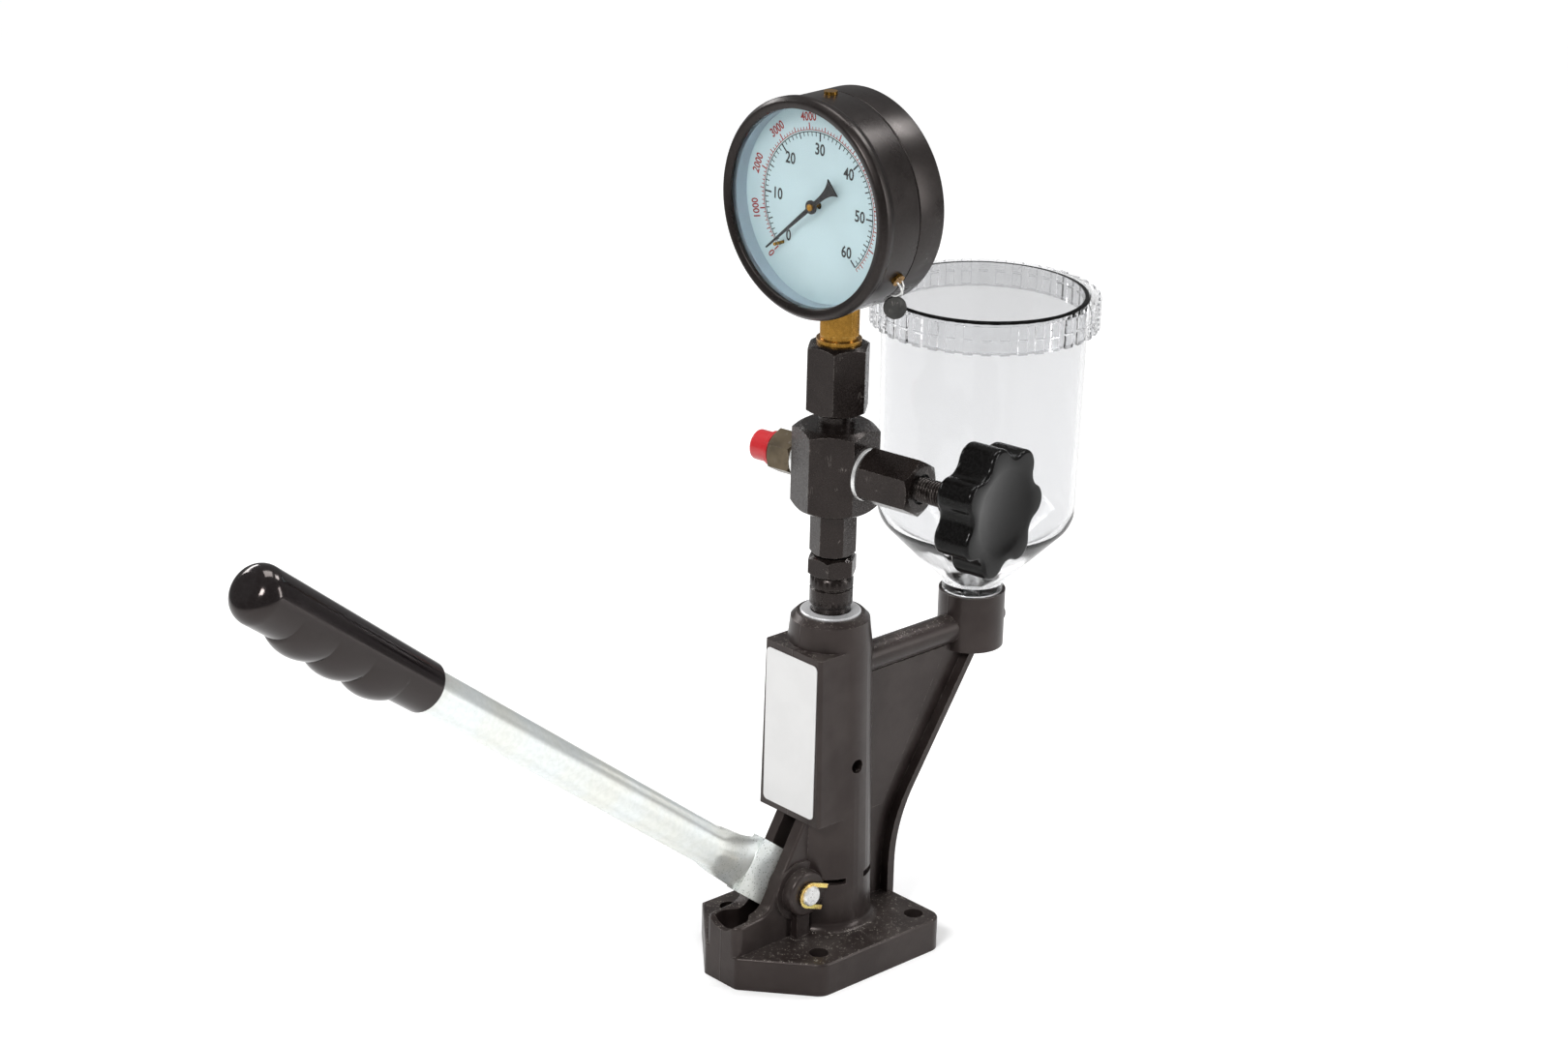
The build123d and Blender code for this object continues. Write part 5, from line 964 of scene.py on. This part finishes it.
def print_scale(name, material, sizes, circle, marks, step, reaches, widths, band, texts, stand, height,
                follow=False):
    """Prints a scale on the dial: its marks, which reach inwards where a reach is negative, its
    circle, and a number at each tenth mark. Reaches and widths, in millimetres, are those of
    each tenth mark, of each other fifth mark and of the rest."""
    place, print_at = gauge_place(), (sizes.dial_depth, sizes.print_thickness)
    unit = np.arange(marks)
    kind = np.where(unit % 10 == 0, 0, np.where(unit % 5 == 0, 1, 2))
    reach, width = np.array(reaches)[kind] * MM, np.array(widths)[kind] * MM
    inner, outer = circle + np.minimum(reach, 0), circle + np.maximum(reach, 0)
    tenths = sizes.zero - step * 10 * np.arange(len(texts))
    arc = (sizes.zero - sizes.sweep, sizes.zero)
    printed = (
        bars(name, place, sizes.zero - step * unit, inner, outer, width, *print_at),
        circle_band(name + "_circle", place, circle, band * MM, *print_at, *arc),
        numbers(name + "_numbers", place, texts, tenths, stand, height, *print_at, follow),
    )
    for piece in printed:
        finish(piece, "frame", "pointer_black", material=material)


# Operators


class TesterOperator(bpy.types.Operator):
    """Common base of the tester's operators."""

    bl_options = {"REGISTER", "UNDO"}


class TESTER_OT_casting(TesterOperator):
    """Housing with rounded edges and its coat, and the bare label plate."""

    bl_idname = "tester.casting"
    bl_label = "Casting"

    def execute(self, context):
        finish_copy("housing", "_casting", 0.7, "frame", "cast_black")
        finish_copy("label_plate", "_bare", 0.12, "frame", "label_white")
        finish_nodes(black_steel=["duct_plug"])
        return {"FINISHED"}


class TESTER_OT_fittings(TesterOperator):
    """Steel fittings from the column's top to the gauge, with worn edges."""

    bl_idname = "tester.fittings"
    bl_label = "Fittings"

    def execute(self, context):
        slots = {"outlet_fitting": "golden_steel", "gauge_stem": "brass"}
        nodes = ("delivery_valve_holder", "union_nut", "cross_block", "valve_body", "outlet_fitting",
                 "gauge_coupling", "gauge_stem")
        for node in nodes:
            finish_copy(node, "_finished", 0.3, "frame", slots.get(node, "black_steel"))
        finish_nodes(
            bright_aluminium=["clamp_ring"],
            bright_steel=["valve_washer", "outlet_washer", "gauge_seal_washer"],
            black_steel=["coupling_nipple"],
        )
        return {"FINISHED"}


class TESTER_OT_lever(TesterOperator):
    """Lever tube, pin and clips, and the dipped grip with its finger bumps."""

    bl_idname = "tester.lever"
    bl_label = "Lever"

    def execute(self, context):
        grip = closed_grid("lever_grip_dipped", grip_surface(context.scene.tester_lever))
        finish(grip, "lever", "grip_black", "lever_grip")
        finish_copy("lever_tube", "_plated", 0.3, "lever", "zinc_steel")
        finish_nodes(bright_steel=["pivot_pin"], yellow_steel=["pin_clips"])
        return {"FINISHED"}


class TESTER_OT_valve(TesterOperator):
    """Knob, threaded spindle, needle and packing of the shut-off valve, and the outlet's cap."""

    bl_idname = "tester.valve"
    bl_label = "Valve"

    def execute(self, context):
        sizes = context.scene.tester_valve
        knob = closed_grid("knob_lobed", knob_surface(sizes))
        finish(knob, "knob_group", "knob_black", "valve_knob")
        spindle = closed_grid("spindle_threaded", spindle_surface(sizes))
        finish(spindle, "knob_group", "black_steel", "valve_spindle")
        finish_copy("dust_cap", "_finished", 0.25, "cap_group", "cap_red")
        finish_nodes(bright_steel=["valve_needle"], seal_rubber=["valve_packing"])
        return {"FINISHED"}


class TESTER_OT_gauge(TesterOperator):
    """Case, bezel, glass, screws and seal of the pressure gauge."""

    bl_idname = "tester.gauge"
    bl_label = "Gauge"

    def execute(self, context):
        sizes, place = context.scene.tester_gauge, gauge_place()
        case = turned_grid(place, rounded(case_profile(sizes), 0.5, closed=False))
        finish(closed_grid("gauge_case_spun", case), "frame", "case_black", "gauge_case")
        bezel = turned_grid(place, rounded(bezel_profile(sizes), 0.9))
        faces = grid_faces(*bezel.shape[:2], ring=True)
        bezel = piece_from("gauge_bezel_rolled", bezel.reshape(-1, 3), faces.tolist())
        finish(bezel, "frame", "case_black", "gauge_bezel")
        finish_nodes(
            clear_glass=["gauge_glass"], dial_wall=["dial_spacer"], brass=["case_screws"],
            seal_lead=["seal_disc"], bright_steel=["seal_wire"],
        )
        return {"FINISHED"}


class TESTER_OT_dial(TesterOperator):
    """Dial with two scales and their plain numbers, and the pointer with its stop."""

    bl_idname = "tester.dial"
    bl_label = "Dial"

    def execute(self, context):
        sizes = context.scene.tester_gauge
        print_scale(
            "scale_inner", "pointer_black", sizes, sizes.inner_circle, marks=61, step=sizes.sweep / 60,
            reaches=(-4.0, -2.8, -2.0), widths=(0.80, 0.60, 0.46), band=0.44,
            texts=range(0, 70, 10), stand=sizes.inner_numbers, height=sizes.inner_height,
        )
        print_scale(
            "scale_outer", "print_red", sizes, sizes.outer_circle, marks=88, step=sizes.outer_step,
            reaches=(3.2, 2.2, 1.4), widths=(0.66, 0.48, 0.38), band=0.36,
            texts=range(0, 9000, 1000), stand=sizes.outer_numbers, height=sizes.outer_height, follow=True,
        )
        finish_nodes(dial_face=["gauge_dial"], pointer_black=["gauge_pointer"], brass=["zero_stop"])
        return {"FINISHED"}


class TESTER_OT_cup(TesterOperator):
    """Clear fuel cup with its lid, O-ring and strainer."""

    bl_idname = "tester.cup"
    bl_label = "Cup"

    def execute(self, context):
        for node, body in (("fuel_cup", "frame"), ("cup_lid", "lid_group")):
            finish_copy(node, "_clear", 0.25, body, "clear_plastic")
        finish_nodes(seal_rubber=["cup_o_ring"], bright_steel=["filter_screen"])
        return {"FINISHED"}


class TESTER_OT_works(TesterOperator):
    """Inner works of pump and gauge, which keep their CAD shapes."""

    bl_idname = "tester.works"
    bl_label = "Inner works"

    def execute(self, context):
        finish_nodes(
            spring_steel=["plunger_spring", "delivery_spring", "spring_seat"],
            bright_steel=["plunger", "tappet", "pump_barrel", "delivery_valve_seat", "delivery_valve"],
            brass=["bourdon_tube", "movement_plates", "sector_gear", "pointer_pinion", "link_rod"],
        )
        shown_nodes = {name: node for name, node in frame["nodes"].items() if not node.hide_render}
        missing = [name for name, node in shown_nodes.items() if not node.data.materials[:1]]
        if missing:
            raise RuntimeError("nodes without a finish: " + ", ".join(missing))
        return {"FINISHED"}


class TESTER_OT_stage(TesterOperator):
    """Pale floor, soft lamps, white surroundings and the camera."""

    bl_idname = "tester.stage"
    bl_label = "Stage"

    def lamp(self, name, origin, target, size, power):
        """A soft rectangular lamp that looks at a point, with its power in watts."""
        data = bpy.data.lights.new(name, "AREA")
        data.shape = "RECTANGLE"
        data.size, data.size_y = size
        data.energy = power
        back = np.array(origin) - target
        self.show(name, data).matrix_world = Place(origin, np.cross(UP, back), back).matrix()

    def show(self, name, data):
        """An object of the scene from its data."""
        made = bpy.data.objects.new(name, data)
        bpy.context.scene.collection.objects.link(made)
        return made

    def seen_share(self, tree):
        """1 for rays from the camera and through clear pieces, and 0 for the rest."""
        path = add_node(tree, "ShaderNodeLightPath").outputs
        return reckon(tree, "MAXIMUM", path["Is Camera Ray"], path["Is Transmission Ray"])

    def floor_material(self, shade, stage):
        """Matt floor whose own glow is seen but lights nothing; it grows away from the tester, where
        the lamps fade, so that the floor is evenly pale and keeps the shadow."""
        made, tree, shader = surface("floor", shade, 1.0, Specular_IOR_Level=0.0, Emission_Color=WHITE)
        away = reckon_vector(tree, "LENGTH", object_point(tree))["Value"]
        level = span(tree, away, low=0.0, high=stage.glow_reach, start=stage.glow, end=stage.far_glow)
        feed_named(tree, shader, Emission_Strength=times(tree, self.seen_share(tree), level))
        return made

    def execute(self, context):
        scene, stage = context.scene, context.scene.tester_stage
        half = stage.floor_size / 2
        mesh = bpy.data.meshes.new("floor")
        corners = ((-half, -half, 0), (half, -half, 0), (half, half, 0), (-half, half, 0))
        mesh.from_pydata(corners, [], [(0, 1, 2, 3)])
        mesh.materials.append(self.floor_material(scene.tester_colours.floor, stage))
        floor = self.show("floor", mesh)

        world = bpy.data.worlds.new("surroundings")
        scene.world = world
        world.use_nodes = True
        tree = world.node_tree
        level = reckon(tree, "MAXIMUM", self.seen_share(tree), stage.ambient)
        feed_named(tree, tree.nodes["Background"], Color=WHITE, Strength=level)

        centre, gauge, lever = (0.0, 0.0, 0.2), (0.0, 0.0, 0.36), (-0.15, 0.0, 0.2)
        self.lamp("key", (-1.25, -0.45, 1.30), centre, (0.5, 0.4), 18.0)
        self.lamp("side", (0.95, -1.35, 0.70), centre, (0.28, 1.1), 10.0)
        self.lamp("top", (0.1, 0.25, 1.7), centre, (0.9, 0.6), 12.0)
        self.lamp("strip", (-0.25, 1.3, 0.9), lever, (1.1, 0.16), 7.0)
        self.lamp("rear", (0.96, -0.20, 1.50), gauge, (0.40, 0.40), 7.0)

        data = bpy.data.cameras.new("camera")
        data.lens = stage.lens
        data.sensor_width = 36.0
        data.clip_start, data.clip_end = 0.05, 100.0
        turn, tilt, roll = stage.turn, stage.tilt, stage.roll
        back = np.array((math.sin(turn) * math.cos(tilt), -math.cos(turn) * math.cos(tilt), math.sin(tilt)))
        level = np.array((math.cos(turn), math.sin(turn), 0.0))
        side = level * math.cos(roll) + np.cross(back, level) * math.sin(roll)
        camera = self.show("camera", data)
        camera.matrix_world = Place((stage.camera_x, stage.camera_y, stage.camera_z), side, back).matrix()
        scene.camera = camera
        scene.view_settings.view_transform = "Standard"
        return {"FINISHED"}


OPERATORS = (
    TESTER_OT_casting, TESTER_OT_fittings, TESTER_OT_lever, TESTER_OT_valve, TESTER_OT_gauge, TESTER_OT_dial,
    TESTER_OT_cup, TESTER_OT_works, TESTER_OT_stage,
)


class TESTER_PT_panel(bpy.types.Panel):
    """Lists the tester's operators and sizes."""

    bl_idname = "TESTER_PT_panel"
    bl_label = "Injector tester"
    bl_space_type = "VIEW_3D"
    bl_region_type = "UI"
    bl_category = "Tester"

    def draw(self, context):
        for operator in OPERATORS:
            self.layout.operator(operator.bl_idname)
        for name, group in GROUPS.items():
            box = self.layout.box()
            for key in group.__annotations__:
                box.prop(getattr(context.scene, name), key)


CLASSES = (*GROUPS.values(), *OPERATORS, TESTER_PT_panel)


def register():
    for kind in CLASSES:
        bpy.utils.register_class(kind)
    for name, group in GROUPS.items():
        setattr(bpy.types.Scene, name, PointerProperty(type=group))


def unregister():
    for name in GROUPS:
        delattr(bpy.types.Scene, name)
    for kind in reversed(CLASSES):
        bpy.utils.unregister_class(kind)


def main():
    register()
    for operator in OPERATORS:
        group, name = operator.bl_idname.split(".")
        getattr(getattr(bpy.ops, group), name)()


if __name__ == "__main__":
    main()
